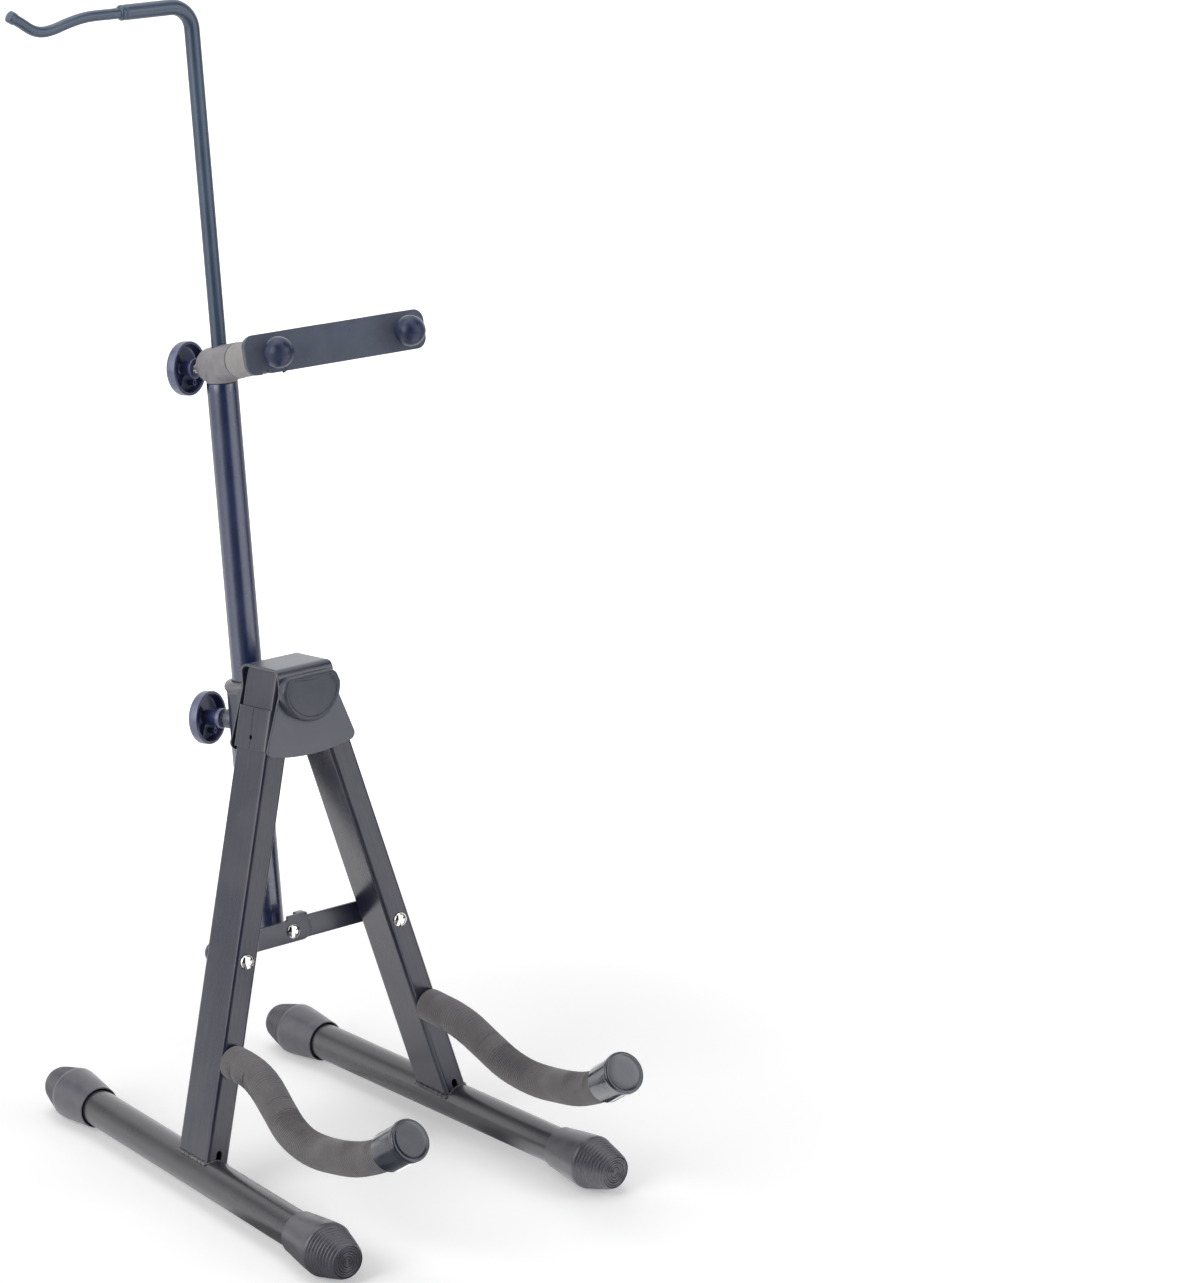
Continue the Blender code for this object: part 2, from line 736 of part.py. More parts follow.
def foot_cut(side):
    """Return the block that trims a leg to its foot tube: the tube's space and all below its axis."""
    name = SIDE_NAMES[side] + "_foot_cut"
    radius = FOOT_RADIUS + SEAT_GAP
    side_reach = 3 * FOOT_RADIUS
    outline = arc((0.0, 0.0), radius, 0, 180, 24)
    outline += [(-side_reach, 0.0), (-side_reach, -side_reach), (side_reach, -side_reach), (side_reach, 0.0)]
    frame = foot_frame(side)
    return slab(name, [outline], 0.2, None, frame)


def leg_band(side):
    """Make the strip that is wrapped round the top of a leg, with its butt seam outside."""
    name = SIDE_NAMES[side] + "_leg_band"
    inner = rounded_rectangle(LEG_WIDTH / 2 + SEAT_GAP, LEG_DEPTH / 2 + SEAT_GAP, LEG_CORNER + SEAT_GAP)
    outer = rounded_rectangle(LEG_WIDTH / 2 + SEAT_GAP + BAND_SHEET, LEG_DEPTH / 2 + SEAT_GAP + BAND_SHEET,
                              LEG_CORNER + SEAT_GAP + BAND_SHEET)
    middle = -BAND_TOP_DROP - BAND_LENGTH / 2
    body = slab(name, [outer, inner], BAND_LENGTH, powder_coat(), leg_frame(side) @ move(z=middle))
    face = side * (LEG_WIDTH / 2 + BAND_SHEET)
    slit = box(name + "_slit", (3 * BAND_SHEET, BAND_SLIT, 2 * BAND_LENGTH), None,
               leg_frame(side) @ move(x=face, z=middle))
    boolean(body, slit)
    drop = rod(name + "_drop", BAND_DROP_RADIUS, 4 * BAND_SHEET, None,
               leg_frame(side) @ move(x=face - 2 * BAND_SHEET, z=-BAND_TOP_DROP - BAND_DROP_SHARE * BAND_LENGTH)
               @ turn(math.radians(90), "Y"), 12)
    boolean(body, drop)
    return body


def leg_rivet(side):
    """Make the long rivet through a leg that a brace link turns on."""
    front = -leg_half_depth() - SEAT_GAP
    rear = link_rear(side) + SEAT_GAP
    frame = across_frame(side * brace_reach(), front, BRACE_HEIGHT)
    profile = rivet_profile(RIVET_RADIUS, RIVET_HEAD_RADIUS, RIVET_HEAD_HEIGHT, rear - front)
    return turned(SIDE_NAMES[side] + "_leg_rivet", profile, nickel(), frame, FINE)


def foot_tube(side):
    """Make the round tube that a leg stands on, open at both ends inside the caps."""
    half = FOOT_LENGTH / 2 - CAP_END_WALL - SEAT_GAP
    return pipe(SIDE_NAMES[side] + "_foot_tube", FOOT_RADIUS, FOOT_RADIUS - FOOT_WALL, -half, half,
                powder_coat(), foot_frame(side))


def foot_cap(side, end):
    """Make a rubber cap: it widens from its lip to a ring and narrows to a flat end."""
    name = f"{SIDE_NAMES[side]}_foot_cap_{end}"
    frame = foot_frame(side)
    if end == "back":
        frame = frame @ turn(math.radians(180), "Y")
    tip = FOOT_LENGTH / 2
    bore = FOOT_RADIUS + SEAT_GAP
    lip = bore + CAP_LIP_WALL
    ring = tip - CAP_RING_FROM_END
    band = CAP_RING_BAND / 2
    mouth = tip - CAP_LENGTH
    profile = [(0.0, tip), (CAP_END_RADIUS - 0.0008, tip), (CAP_END_RADIUS, tip - 0.0008),
               (CAP_RING_RADIUS - 0.0004, ring + band + 0.0015),
               (CAP_RING_RADIUS, ring + band), (CAP_RING_RADIUS, ring - band),
               (CAP_RING_RADIUS - 0.0003, ring - band - 0.0015), (lip + 0.0004, mouth + 0.003), (lip, mouth + 0.0008),
               (lip, mouth), (bore, mouth), (bore, tip - CAP_END_WALL), (0.0, tip - CAP_END_WALL)]
    body = turned(name, profile, rubber(), frame)
    ground = box(name + "_ground", (0.06, 0.4, 0.02), None, move(x=side * FOOT_MIDDLE_X, z=-0.01))
    boolean(body, ground)
    return body


# Support arms

def arm_path(side):
    """Return the centre line of a support arm in the stand's frame."""
    start = leg_frame(side) @ Vector((0.0, -leg_half_depth(), -leg_drop(ARM_START_HEIGHT)))
    inside = start + (leg_frame(side).to_3x3() @ Vector((0.0, LEG_DEPTH - 3 * LEG_WALL, 0.0)))
    points = [inside, start]
    for x, y, z in ARM_POINTS:
        points.append(start + Vector((side * x, y, z)))
    return points


def arm_tip(side):
    """Return the arm's end point and its direction there."""
    points = arm_path(side)
    return points[-1], (points[-1] - points[-2]).normalized()


def trimmed(path, start, end):
    """Keep the part of a path that lies between two distances along it."""
    kept, travelled = [], 0.0
    for first, second in zip(path, path[1:]):
        step = (second - first).length
        for place in (start, end):
            if travelled <= place < travelled + step:
                kept.append(first.lerp(second, (place - travelled) / step))
        if start < travelled + step < end:
            kept.append(second)
        travelled += step
    return kept


def path_length(path):
    return sum((second - first).length for first, second in zip(path, path[1:]))


def arm_rod(side):
    """Make the bent rod of a support arm, from inside the leg to inside its end cap."""
    path = smooth_path(arm_path(side)[1:], ARM_STATIONS)
    inside = arm_path(side)[0]
    path = trimmed([inside] + path, 0.0, path_length([inside] + path) - 0.004)
    return swept(SIDE_NAMES[side] + "_arm_rod", path, ARM_ROD_RADIUS, powder_coat(), Matrix.Identity(4), 8)


def arm_foam(side):
    """Make the foam sleeve of a support arm, from the leg's face to the end cap."""
    path = smooth_path(arm_path(side)[1:], ARM_STATIONS)
    end = path_length(path) - ARM_CAP_LENGTH - SEAT_GAP
    return swept_pipe(SIDE_NAMES[side] + "_arm_foam", trimmed(path, 0.0010, end), FOAM_RADIUS,
                      FOAM_RADIUS - ARM_ROD_RADIUS - SEAT_GAP, foam(), Matrix.Identity(4))


def arm_cap(side):
    """Make the glossy plug on the end of a support arm, with a wider rim at its face."""
    tip, direction = arm_tip(side)
    rim = ARM_CAP_RIM_LENGTH
    bore = ARM_ROD_RADIUS + SEAT_GAP
    profile = [(0.0, 0.0), (ARM_CAP_RIM - 0.0006, 0.0), (ARM_CAP_RIM, -0.0006), (ARM_CAP_RIM, -rim),
               (ARM_CAP_RADIUS, -rim - 0.0005), (ARM_CAP_RADIUS, -ARM_CAP_LENGTH + 0.001),
               (ARM_CAP_RADIUS - 0.001, -ARM_CAP_LENGTH), (bore, -ARM_CAP_LENGTH), (bore, -rim), (0.0, -rim)]
    return turned(SIDE_NAMES[side] + "_arm_cap", profile, gloss_plastic(), along(tip, direction))


# Brace

def link_front(side):
    """Return how far behind the leg plane a link's front face lies."""
    front = leg_half_depth() + LINK_LAYER_GAP
    if side == RIGHT:
        front += LINK_THICKNESS + LINK_LAYER_GAP
    return front


def link_rear(side):
    return link_front(side) + LINK_THICKNESS


def link_outline(side):
    """Return a link's outline seen from the front; the left link has a tab on its upper edge."""
    half = LINK_WIDTH / 2
    leg_end = arc((-brace_reach(), 0.0), half, 90, 270, 8)
    if side == RIGHT:
        outline = arc((0.0, 0.0), half, -90, 90, 8) + leg_end
        return [(-x, z) for x, z in reversed(outline)]
    end = LINK_END_REACH - half
    meets = math.degrees(math.acos((TAB_END - end) / half))
    tab = [(TAB_END, half + TAB_RISE), (TAB_START, half + TAB_RISE), (TAB_START, half)]
    return arc((end, 0.0), half, -90, meets, 6) + tab + leg_end


def brace_link(side):
    """Make one brace link, from a leg rivet to just past the middle."""
    name = SIDE_NAMES[side] + "_brace_link"
    middle = (link_front(side) + link_rear(side)) / 2
    frame = lean_frame() @ move(y=middle, z=BRACE_HEIGHT) @ turn(math.radians(90), "X")
    leg_hole = circle((side * brace_reach(), 0.0), RIVET_RADIUS + RUN_GAP)
    middle_hole = circle((0.0, 0.0), RIVET_RADIUS + SEAT_GAP)
    body = slab(name, [link_outline(side), leg_hole, middle_hole], LINK_THICKNESS, powder_coat(), frame)
    if side == LEFT:
        boolean(body, stop_lip(), "UNION")
    return body


def stop_lip():
    """Make the stop tab's lip, bent to the rear over the right link."""
    front = (link_front(LEFT) + link_rear(LEFT)) / 2
    rear = link_rear(RIGHT) + TAB_OVERHANG
    top = BRACE_HEIGHT + LINK_WIDTH / 2 + TAB_RISE - TAB_INSET
    length = TAB_END - LIP_START - TAB_INSET
    place = move(x=(TAB_END - TAB_INSET + LIP_START) / 2, y=(front + rear) / 2, z=top - TAB_SHEET / 2)
    return box("stop_lip", (length, rear - front, TAB_SHEET), None, lean_frame() @ place)


def brace_rivet(side):
    """Make one half of the middle rivet: its head and the shank in one link."""
    grip = LINK_THICKNESS + SEAT_GAP
    dome = [math.pi / 2 * index / DOME_STEPS for index in range(1, DOME_STEPS + 1)]
    head = [(RIVET_HEAD_RADIUS * math.sin(a), grip + RIVET_HEAD_HEIGHT * math.cos(a)) for a in dome]
    profile = [(0.0, grip + RIVET_HEAD_HEIGHT)] + head + [(RIVET_RADIUS, grip), (RIVET_RADIUS, 0.0), (0.0, 0.0)]
    if side == LEFT:
        start = link_rear(LEFT) + 0.00005
        frame = lean_frame() @ move(y=start, z=BRACE_HEIGHT) @ turn(math.radians(90), "X")
        return turned("brace_rivet_front", profile, nickel(), frame, FINE)
    start = link_front(RIGHT) - 0.00005
    return turned("brace_rivet_rear", profile, nickel(), across_frame(0.0, start, BRACE_HEIGHT), FINE)


def brace_spacer():
    """Make the washer that holds the right link clear of the right leg."""
    low = leg_half_depth() + SEAT_GAP
    high = link_front(RIGHT) - SEAT_GAP
    return pipe("brace_spacer", RIVET_HEAD_RADIUS + 0.001, RIVET_RADIUS + SEAT_GAP, 0.0, high - low, nickel(),
                across_frame(brace_reach(), low, BRACE_HEIGHT), FINE)


# Post

def post_tube():
    """Make the post, open at both ends under its plug and bush."""
    return pipe("post_tube", POST_RADIUS, POST_RADIUS - POST_WALL, POST_BOTTOM + PLUG_FLANGE + SEAT_GAP, POST_TOP,
                powder_coat(), post_frame())


def post_end_plug():
    """Make the plastic plug in the post's lower end."""
    inner = POST_RADIUS - POST_WALL - SEAT_GAP
    profile = solid_profile([(inner, POST_BOTTOM + PLUG_DEPTH), (inner, POST_BOTTOM + PLUG_FLANGE),
                             (POST_RADIUS, POST_BOTTOM + PLUG_FLANGE), (POST_RADIUS, POST_BOTTOM + 0.0006),
                             (POST_RADIUS - 0.0006, POST_BOTTOM)])
    return turned("post_end_plug", profile, black_plastic(), post_frame())


def post_top_bush():
    """Make the bush in the post's upper end that the thin rod slides through."""
    outer = POST_RADIUS - POST_WALL - SEAT_GAP
    return pipe("post_top_bush", outer, ROD_RADIUS + RUN_GAP, POST_TOP - PLUG_DEPTH, POST_TOP, black_plastic(),
                post_frame())


# Thin rod and hook

def hook_arc(count=6):
    """Return the rod's centre line in the post frame: up, round the bend and out to the left."""
    points = [Vector((0.0, 0.0, rod_foot())), Vector((0.0, 0.0, (rod_foot() + ROD_TOP) / 2))]
    for x, z in arc((-ROD_BEND, ROD_TOP - ROD_BEND), ROD_BEND, 0, 90, count):
        points.append(Vector((x, 0.0, z)))
    points.append(Vector((-HOOK_TUBE_REACH, 0.0, ROD_TOP)))
    return points


def hook_rod():
    """Make the thin tube that rises from the post and bends over to the left."""
    wall = ROD_RADIUS - WIRE_RADIUS - SEAT_GAP
    return swept_pipe("hook_rod", hook_arc(), ROD_RADIUS, wall, powder_coat(), post_frame())


def hook_wire():
    """Make the bow hook's wire: it leaves the tube, dips and rises to its tip."""
    points = [Vector((-x, 0.0, ROD_TOP + z)) for x, z in HOOK_WIRE_POINTS]
    points[0] = Vector((-HOOK_TUBE_REACH + 0.010, 0.0, ROD_TOP))
    return swept("hook_wire", smooth_path(points, WIRE_STATIONS), WIRE_RADIUS, powder_coat(), post_frame(), SLIM)


def hook_tip_cap():
    """Make the small cap on the hook's tip."""
    end = Vector((-HOOK_WIRE_POINTS[-1][0], 0.0, ROD_TOP + HOOK_WIRE_POINTS[-1][1]))
    before = Vector((-HOOK_WIRE_POINTS[-2][0], 0.0, ROD_TOP + HOOK_WIRE_POINTS[-2][1]))
    outer, bore = WIRE_TIP_RADIUS, WIRE_RADIUS + SEAT_GAP
    profile = [(0.0, 0.0015), (outer - 0.0006, 0.0015), (outer, 0.0009), (outer, 0.0015 - WIRE_TIP_LENGTH),
               (bore, 0.0015 - WIRE_TIP_LENGTH), (bore, SEAT_GAP), (0.0, SEAT_GAP)]
    return turned("hook_tip_cap", profile, black_plastic(), post_frame() @ along(end, end - before), FINE)


def rod_guide():
    """Make the bush on the thin rod's foot that slides inside the post."""
    outer = POST_RADIUS - POST_WALL - RUN_GAP
    low = rod_foot() - SEAT_GAP - 0.002
    pin = WIRE_RADIUS + SEAT_GAP - RUN_GAP
    profile = [(0.0, low + GUIDE_LENGTH), (pin, low + GUIDE_LENGTH), (pin, low + 0.002), (outer, low + 0.002),
               (outer, low - GUIDE_LENGTH / 2), (0.0, low - GUIDE_LENGTH / 2)]
    return turned("rod_guide", profile, black_plastic(), post_frame())


# Neck rest

def neck_clamp():
    """Make the clamp body: a stub tube with a round rear end, bored for the rod."""
    radius, rear, front = CLAMP_RADIUS, CLAMP_REAR, CLAMP_FRONT
    bend = CLAMP_REAR_ROUND
    rounded = [(radius - bend + x, -rear + bend + y) for x, y in arc((0.0, 0.0), bend, 0, -90, 6)]
    profile = [(0.0, front), (radius, front)] + rounded + [(0.0, -rear)]
    body = turned("neck_clamp", profile, grey_plastic(), neck_frame())
    bore = rod("clamp_bore", ROD_RADIUS + RUN_GAP, 0.06, None, post_frame() @ move(z=NECK_AXIS_HEIGHT - 0.03))
    boolean(body, bore)
    floor = box("clamp_floor", (0.06, 0.06, 0.02), None, post_frame() @ move(z=POST_TOP + SEAT_GAP - 0.01))
    boolean(body, floor)
    stud = rod("clamp_stud_hole", KNOB_STUD_RADIUS + SEAT_GAP, 0.04, None,
               knob_frame(NECK_AXIS_HEIGHT - UPPER_KNOB_DROP, UPPER_KNOB_TURN), FINE)
    boolean(body, stud)
    socket = rod("clamp_arm_socket", ARM_TUBE_RADIUS + SEAT_GAP, 0.02, None,
                 neck_frame() @ move(z=arm_tube_start() - SEAT_GAP))
    boolean(body, socket)
    return body


def arm_tube_start():
    """Return where the neck arm's tube starts, inside the clamp body."""
    return ROD_RADIUS + 0.004


def neck_arm_tube():
    """Make the steel tube from the clamp body to the plate, cut to the plate's slope."""
    body = pipe("neck_arm_tube", ARM_TUBE_RADIUS, ARM_TUBE_RADIUS - 0.001, arm_tube_start(), ARM_REACH + 0.01,
                powder_coat(), neck_frame())
    boolean(body, plate_clearance("arm_tube_trim"))
    return body


def neck_arm_foam():
    """Make the foam sleeve round the neck arm."""
    body = pipe("neck_arm_foam", ARM_FOAM_RADIUS, ARM_TUBE_RADIUS + SEAT_GAP, CLAMP_FRONT + SEAT_GAP,
                ARM_REACH + 0.01, foam(), neck_frame())
    boolean(body, plate_clearance("arm_foam_trim"))
    return body


def plate_frame():
    """Return the plate's frame: X along it, Y up it and Z out of its front face."""
    face = neck_frame() @ Vector((0.0, 0.0, ARM_REACH))
    square = post_frame() @ turn(NECK_YAW, "Z") @ turn(math.radians(90) - PLATE_TILT, "X")
    return Matrix.Translation(face) @ square.to_3x3().to_4x4()


def plate_clearance(name):
    """Return a block in front of the plate's rear face, which trims what meets it."""
    depth = 0.06
    rear = -PLATE_PAD - PLATE_SHEET - 2 * SEAT_GAP
    return box(name, (0.2, 0.2, depth), None, plate_frame() @ move(z=rear + depth / 2))


def peg_hole(name, side):
    return rod(name, PEG_RADIUS + SEAT_GAP, 0.02, None, plate_frame() @ move(x=side * BALL_SPACING / 2, z=-0.012), FINE)


def plate_layer(name, finish, top, thickness, inset):
    """Make one flat layer of the plate, with a hole for each peg."""
    outline = rounded_rectangle(PLATE_LENGTH / 2 - inset, PLATE_HEIGHT / 2 - inset, PLATE_CORNER - inset, 5)
    body = slab(name, [outline], thickness, finish, plate_frame() @ move(z=top - thickness / 2))
    for side in (LEFT, RIGHT):
        boolean(body, peg_hole(f"{name}_hole_{SIDE_NAMES[side]}", side))
    return body


def neck_plate():
    """Make the steel plate across the neck arm's end."""
    return plate_layer("neck_plate", powder_coat(), -PLATE_PAD - SEAT_GAP, PLATE_SHEET, 0.0006)


def neck_plate_pad():
    """Make the soft facing on the front of the plate."""
    return plate_layer("neck_plate_pad", foam(), 0.0, PLATE_PAD, 0.0)


def neck_peg(side):
    """Make the peg that holds a ball: a head behind the plate and a shank inside the ball."""
    behind = -PLATE_PAD - PLATE_SHEET - 2 * SEAT_GAP
    head = PEG_RADIUS + 0.0012
    profile = [(0.0, BALL_STANDOFF + 0.004), (PEG_RADIUS - 0.0004, BALL_STANDOFF + 0.004),
               (PEG_RADIUS, BALL_STANDOFF + 0.0036), (PEG_RADIUS, behind), (head, behind),
               (head - 0.0006, behind - 0.0014), (0.0, behind - 0.0016)]
    return turned(SIDE_NAMES[side] + "_neck_peg", profile, nickel(),
                  plate_frame() @ move(x=side * BALL_SPACING / 2), FINE)


def neck_ball(side):
    """Make the rubber ball that holds one side of a neck, flattened where it meets the plate."""
    count = BALL_STEPS
    flat = BALL_STANDOFF - SEAT_GAP
    start = math.degrees(math.asin(-flat / BALL_RADIUS)) if flat < BALL_RADIUS else -89.0
    sphere = [(BALL_RADIUS * math.cos(math.radians(a)), BALL_RADIUS * math.sin(math.radians(a)))
              for a in [90 + (start - 90) * i / count for i in range(1, count + 1)]]
    bore = PEG_RADIUS + SEAT_GAP
    bottom = sphere[-1][1]
    sphere[-1] = (max(sphere[-1][0], bore + 0.0008), bottom)
    profile = [(0.0, BALL_RADIUS)] + sphere + [(bore, bottom), (bore, 0.0046), (0.0, 0.0046)]
    return turned(SIDE_NAMES[side] + "_neck_ball", profile, rubber(),
                  plate_frame() @ move(x=side * BALL_SPACING / 2, z=BALL_STANDOFF))


# Assembly

def joint_empty(name, frame, parent):
    """Make an empty on a joint's axis, parented in place."""
    empty = bpy.data.objects.new(name, None)
    collection(PARTS).objects.link(empty)
    empty.empty_display_size = 0.01
    empty.matrix_world = frame
    attach(empty, parent)
    return empty


def attach(obj, parent):
    """Parent an object without moving it."""
    if parent is None:
        return
    bpy.context.view_layer.update()
    obj.parent = parent
    obj.matrix_parent_inverse = parent.matrix_world.inverted()


def attach_all(pieces, parent):
    for piece in pieces:
        attach(piece, parent)


def build_leg(side, origin):
    """Make one leg with its foot, band, rivet and support arm, on its pivot's empty."""
    joint = joint_empty(SIDE_NAMES[side] + "_leg_joint", leg_frame(side), origin)
    pieces = [leg_tube(side), leg_band(side), leg_rivet(side), foot_tube(side), foot_cap(side, "front"),
              foot_cap(side, "back"), arm_rod(side), arm_foam(side), arm_cap(side)]
    if side == RIGHT:
        pieces.append(brace_spacer())
    attach_all(pieces, joint)
    link_place = lean_frame() @ move(x=side * brace_reach(), z=BRACE_HEIGHT)
    link_joint = joint_empty(SIDE_NAMES[side] + "_brace_joint", link_place, joint)
    attach_all([brace_link(side), brace_rivet(side)], link_joint)


def build_head(origin):
    attach_all([head_bracket(), head_pad(), leg_pivot(LEFT), leg_pivot(RIGHT), post_sleeve(), sleeve_bush(),
                sleeve_saddle(), sleeve_nut()], origin)
    knob_joint = joint_empty("lower_knob_joint", knob_frame(LOWER_KNOB_HEIGHT, KNOB_TURN), origin)
    attach_all(lower_knob(), knob_joint)


def build_post(origin):
    """Make the post with the neck rest and the bow hook's rod on it."""
    joint = joint_empty("post_joint", post_frame(), origin)
    attach_all([post_tube(), post_end_plug(), post_top_bush()], joint)
    neck_joint = joint_empty("neck_rest_joint", post_frame() @ move(z=POST_TOP), joint)
    attach_all([neck_clamp(), neck_arm_tube(), neck_arm_foam(), neck_plate(), neck_plate_pad(), neck_peg(LEFT),
                neck_peg(RIGHT), neck_ball(LEFT), neck_ball(RIGHT)], neck_joint)
    knob_place = knob_frame(NECK_AXIS_HEIGHT - UPPER_KNOB_DROP, UPPER_KNOB_TURN)
    attach_all(upper_knob(), joint_empty("upper_knob_joint", knob_place, neck_joint))
    guide_joint = joint_empty("rod_guide_joint", post_frame() @ move(z=rod_foot()), joint)
    attach(rod_guide(), guide_joint)
    rod_joint = joint_empty("hook_rod_joint", post_frame() @ move(z=rod_foot()), guide_joint)
    attach_all([hook_rod(), hook_wire(), hook_tip_cap()], rod_joint)


def centre_on_base(origin):
    """Shift the stand so that its origin is under the middle of its bounding box."""
    bpy.context.view_layer.update()
    graph = bpy.context.evaluated_depsgraph_get()
    low, high = Vector((1e9,) * 3), Vector((-1e9,) * 3)
    for obj in collection(PARTS).objects:
        if obj.type != "MESH":
            continue
        shape = obj.evaluated_get(graph)
        for corner in shape.to_mesh().vertices:
            place = shape.matrix_world @ corner.co
            low = Vector(map(min, low, place))
            high = Vector(map(max, high, place))
        shape.to_mesh_clear()
    origin.location = Vector((-(low.x + high.x) / 2, -(low.y + high.y) / 2, -low.z))
    bpy.context.view_layer.update()


def build():
    clear_scene()
    origin = joint_empty("stand_origin", Matrix.Identity(4), None)
    build_head(origin)
    for side in (LEFT, RIGHT):
        build_leg(side, origin)
    build_post(origin)
    for tool in collection(CUTTERS).objects:
        attach(tool, origin)
    centre_on_base(origin)


build()
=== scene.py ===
"""Looks of a folding stand for a violin, viola or ukulele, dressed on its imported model.

Each sub-assembly is a class. Its sizes are dataclass fields in metres, its places come
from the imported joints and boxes, and its methods build surfaces and dress them. A surface
is a grid of points: one parameter runs along a profile or a path, the other round it.
"""
import json
import logging
import math
from dataclasses import dataclass
from enum import Enum
from typing import Callable, Sequence

import bmesh
import bpy
import numpy as np
from mathutils import Matrix, Vector

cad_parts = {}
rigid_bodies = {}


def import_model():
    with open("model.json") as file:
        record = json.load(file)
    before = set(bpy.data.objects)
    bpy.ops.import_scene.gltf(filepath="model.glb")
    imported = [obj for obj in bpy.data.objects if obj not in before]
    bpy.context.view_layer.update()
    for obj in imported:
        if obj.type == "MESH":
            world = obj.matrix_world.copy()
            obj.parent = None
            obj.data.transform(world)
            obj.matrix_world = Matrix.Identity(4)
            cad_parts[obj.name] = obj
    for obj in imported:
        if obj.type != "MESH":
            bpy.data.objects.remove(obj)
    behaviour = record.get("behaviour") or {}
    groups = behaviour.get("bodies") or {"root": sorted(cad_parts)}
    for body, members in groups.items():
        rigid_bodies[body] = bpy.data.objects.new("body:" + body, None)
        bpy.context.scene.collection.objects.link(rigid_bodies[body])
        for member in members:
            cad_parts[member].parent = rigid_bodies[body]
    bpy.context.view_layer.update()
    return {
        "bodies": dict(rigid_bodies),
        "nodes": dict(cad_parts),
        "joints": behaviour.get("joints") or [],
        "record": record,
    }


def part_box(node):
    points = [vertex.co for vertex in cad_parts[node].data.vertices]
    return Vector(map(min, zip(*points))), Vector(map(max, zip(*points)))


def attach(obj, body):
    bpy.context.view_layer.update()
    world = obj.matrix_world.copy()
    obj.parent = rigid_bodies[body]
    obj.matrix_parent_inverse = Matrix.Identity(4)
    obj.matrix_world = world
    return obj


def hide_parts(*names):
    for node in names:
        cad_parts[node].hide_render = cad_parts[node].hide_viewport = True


LOG = logging.getLogger("violin_stand")
MERGE_DISTANCE = 1e-6
Colour = tuple[float, float, float]
Spot = tuple[float, float, float]
Points = np.ndarray
Piece = bpy.types.Object
Socket = bpy.types.NodeSocket

# Sizes in metres that more than one sub-assembly uses

LEG_DEPTH = 0.0292
PIVOT_HEIGHT = 0.2670
POST_RADIUS = 0.0086
POST_TOP = 0.4347
RIVET_HEAD = 0.0043
RIVET_DOME = 0.0024
SEAT = 0.0001  # between pieces that rest on each other
SLIP = 0.0002  # between a piece and the bore that it goes through


class Named(Enum):
    """A choice whose name stands in the names of the nodes."""

    @property
    def word(self) -> str:
        """Return the name in small letters."""
        return self.name.lower()


class Side(Named):
    """The two sides of the stand, as the sign of X."""

    LEFT = -1
    RIGHT = 1


class FootEnd(Named):
    """The two ends of a foot tube, as the sign along the tube."""

    FRONT = 1
    BACK = -1


@dataclass(frozen=True)
class Place:
    """A local frame: an origin and three unit axes, which are the rows of a matrix."""

    origin: Points
    axes: Points

    def world(self, local: Points) -> Points:
        """Return local points in the stand's frame."""
        return self.origin + np.asarray(local, float) @ self.axes

    def local(self, points: Points) -> Points:
        """Return points of the stand's frame in this one."""
        return (np.asarray(points, float) - self.origin) @ self.axes.T

    def moved(self, x: float = 0.0, y: float = 0.0, z: float = 0.0) -> "Place":
        """Return this frame moved along its own axes."""
        return Place(self.world(np.array((x, y, z))), self.axes)

    def turned(self, degrees: float, axis: str) -> "Place":
        """Return this frame turned about one of its own axes.

        Args:
            degrees: The angle of the turn.
            axis: The letter x, y or z.

        Returns:
            The turned frame.
        """
        first, second = {"x": (1, 2), "y": (2, 0), "z": (0, 1)}[axis]
        cosine, sine = math.cos(math.radians(degrees)), math.sin(math.radians(degrees))
        axes = self.axes.copy()
        axes[first] = cosine * self.axes[first] + sine * self.axes[second]
        axes[second] = cosine * self.axes[second] - sine * self.axes[first]
        return Place(self.origin, axes)


def unit(vector: Points) -> Points:
    """Return vectors at length 1."""
    return vector / np.linalg.norm(vector, axis=-1, keepdims=True)


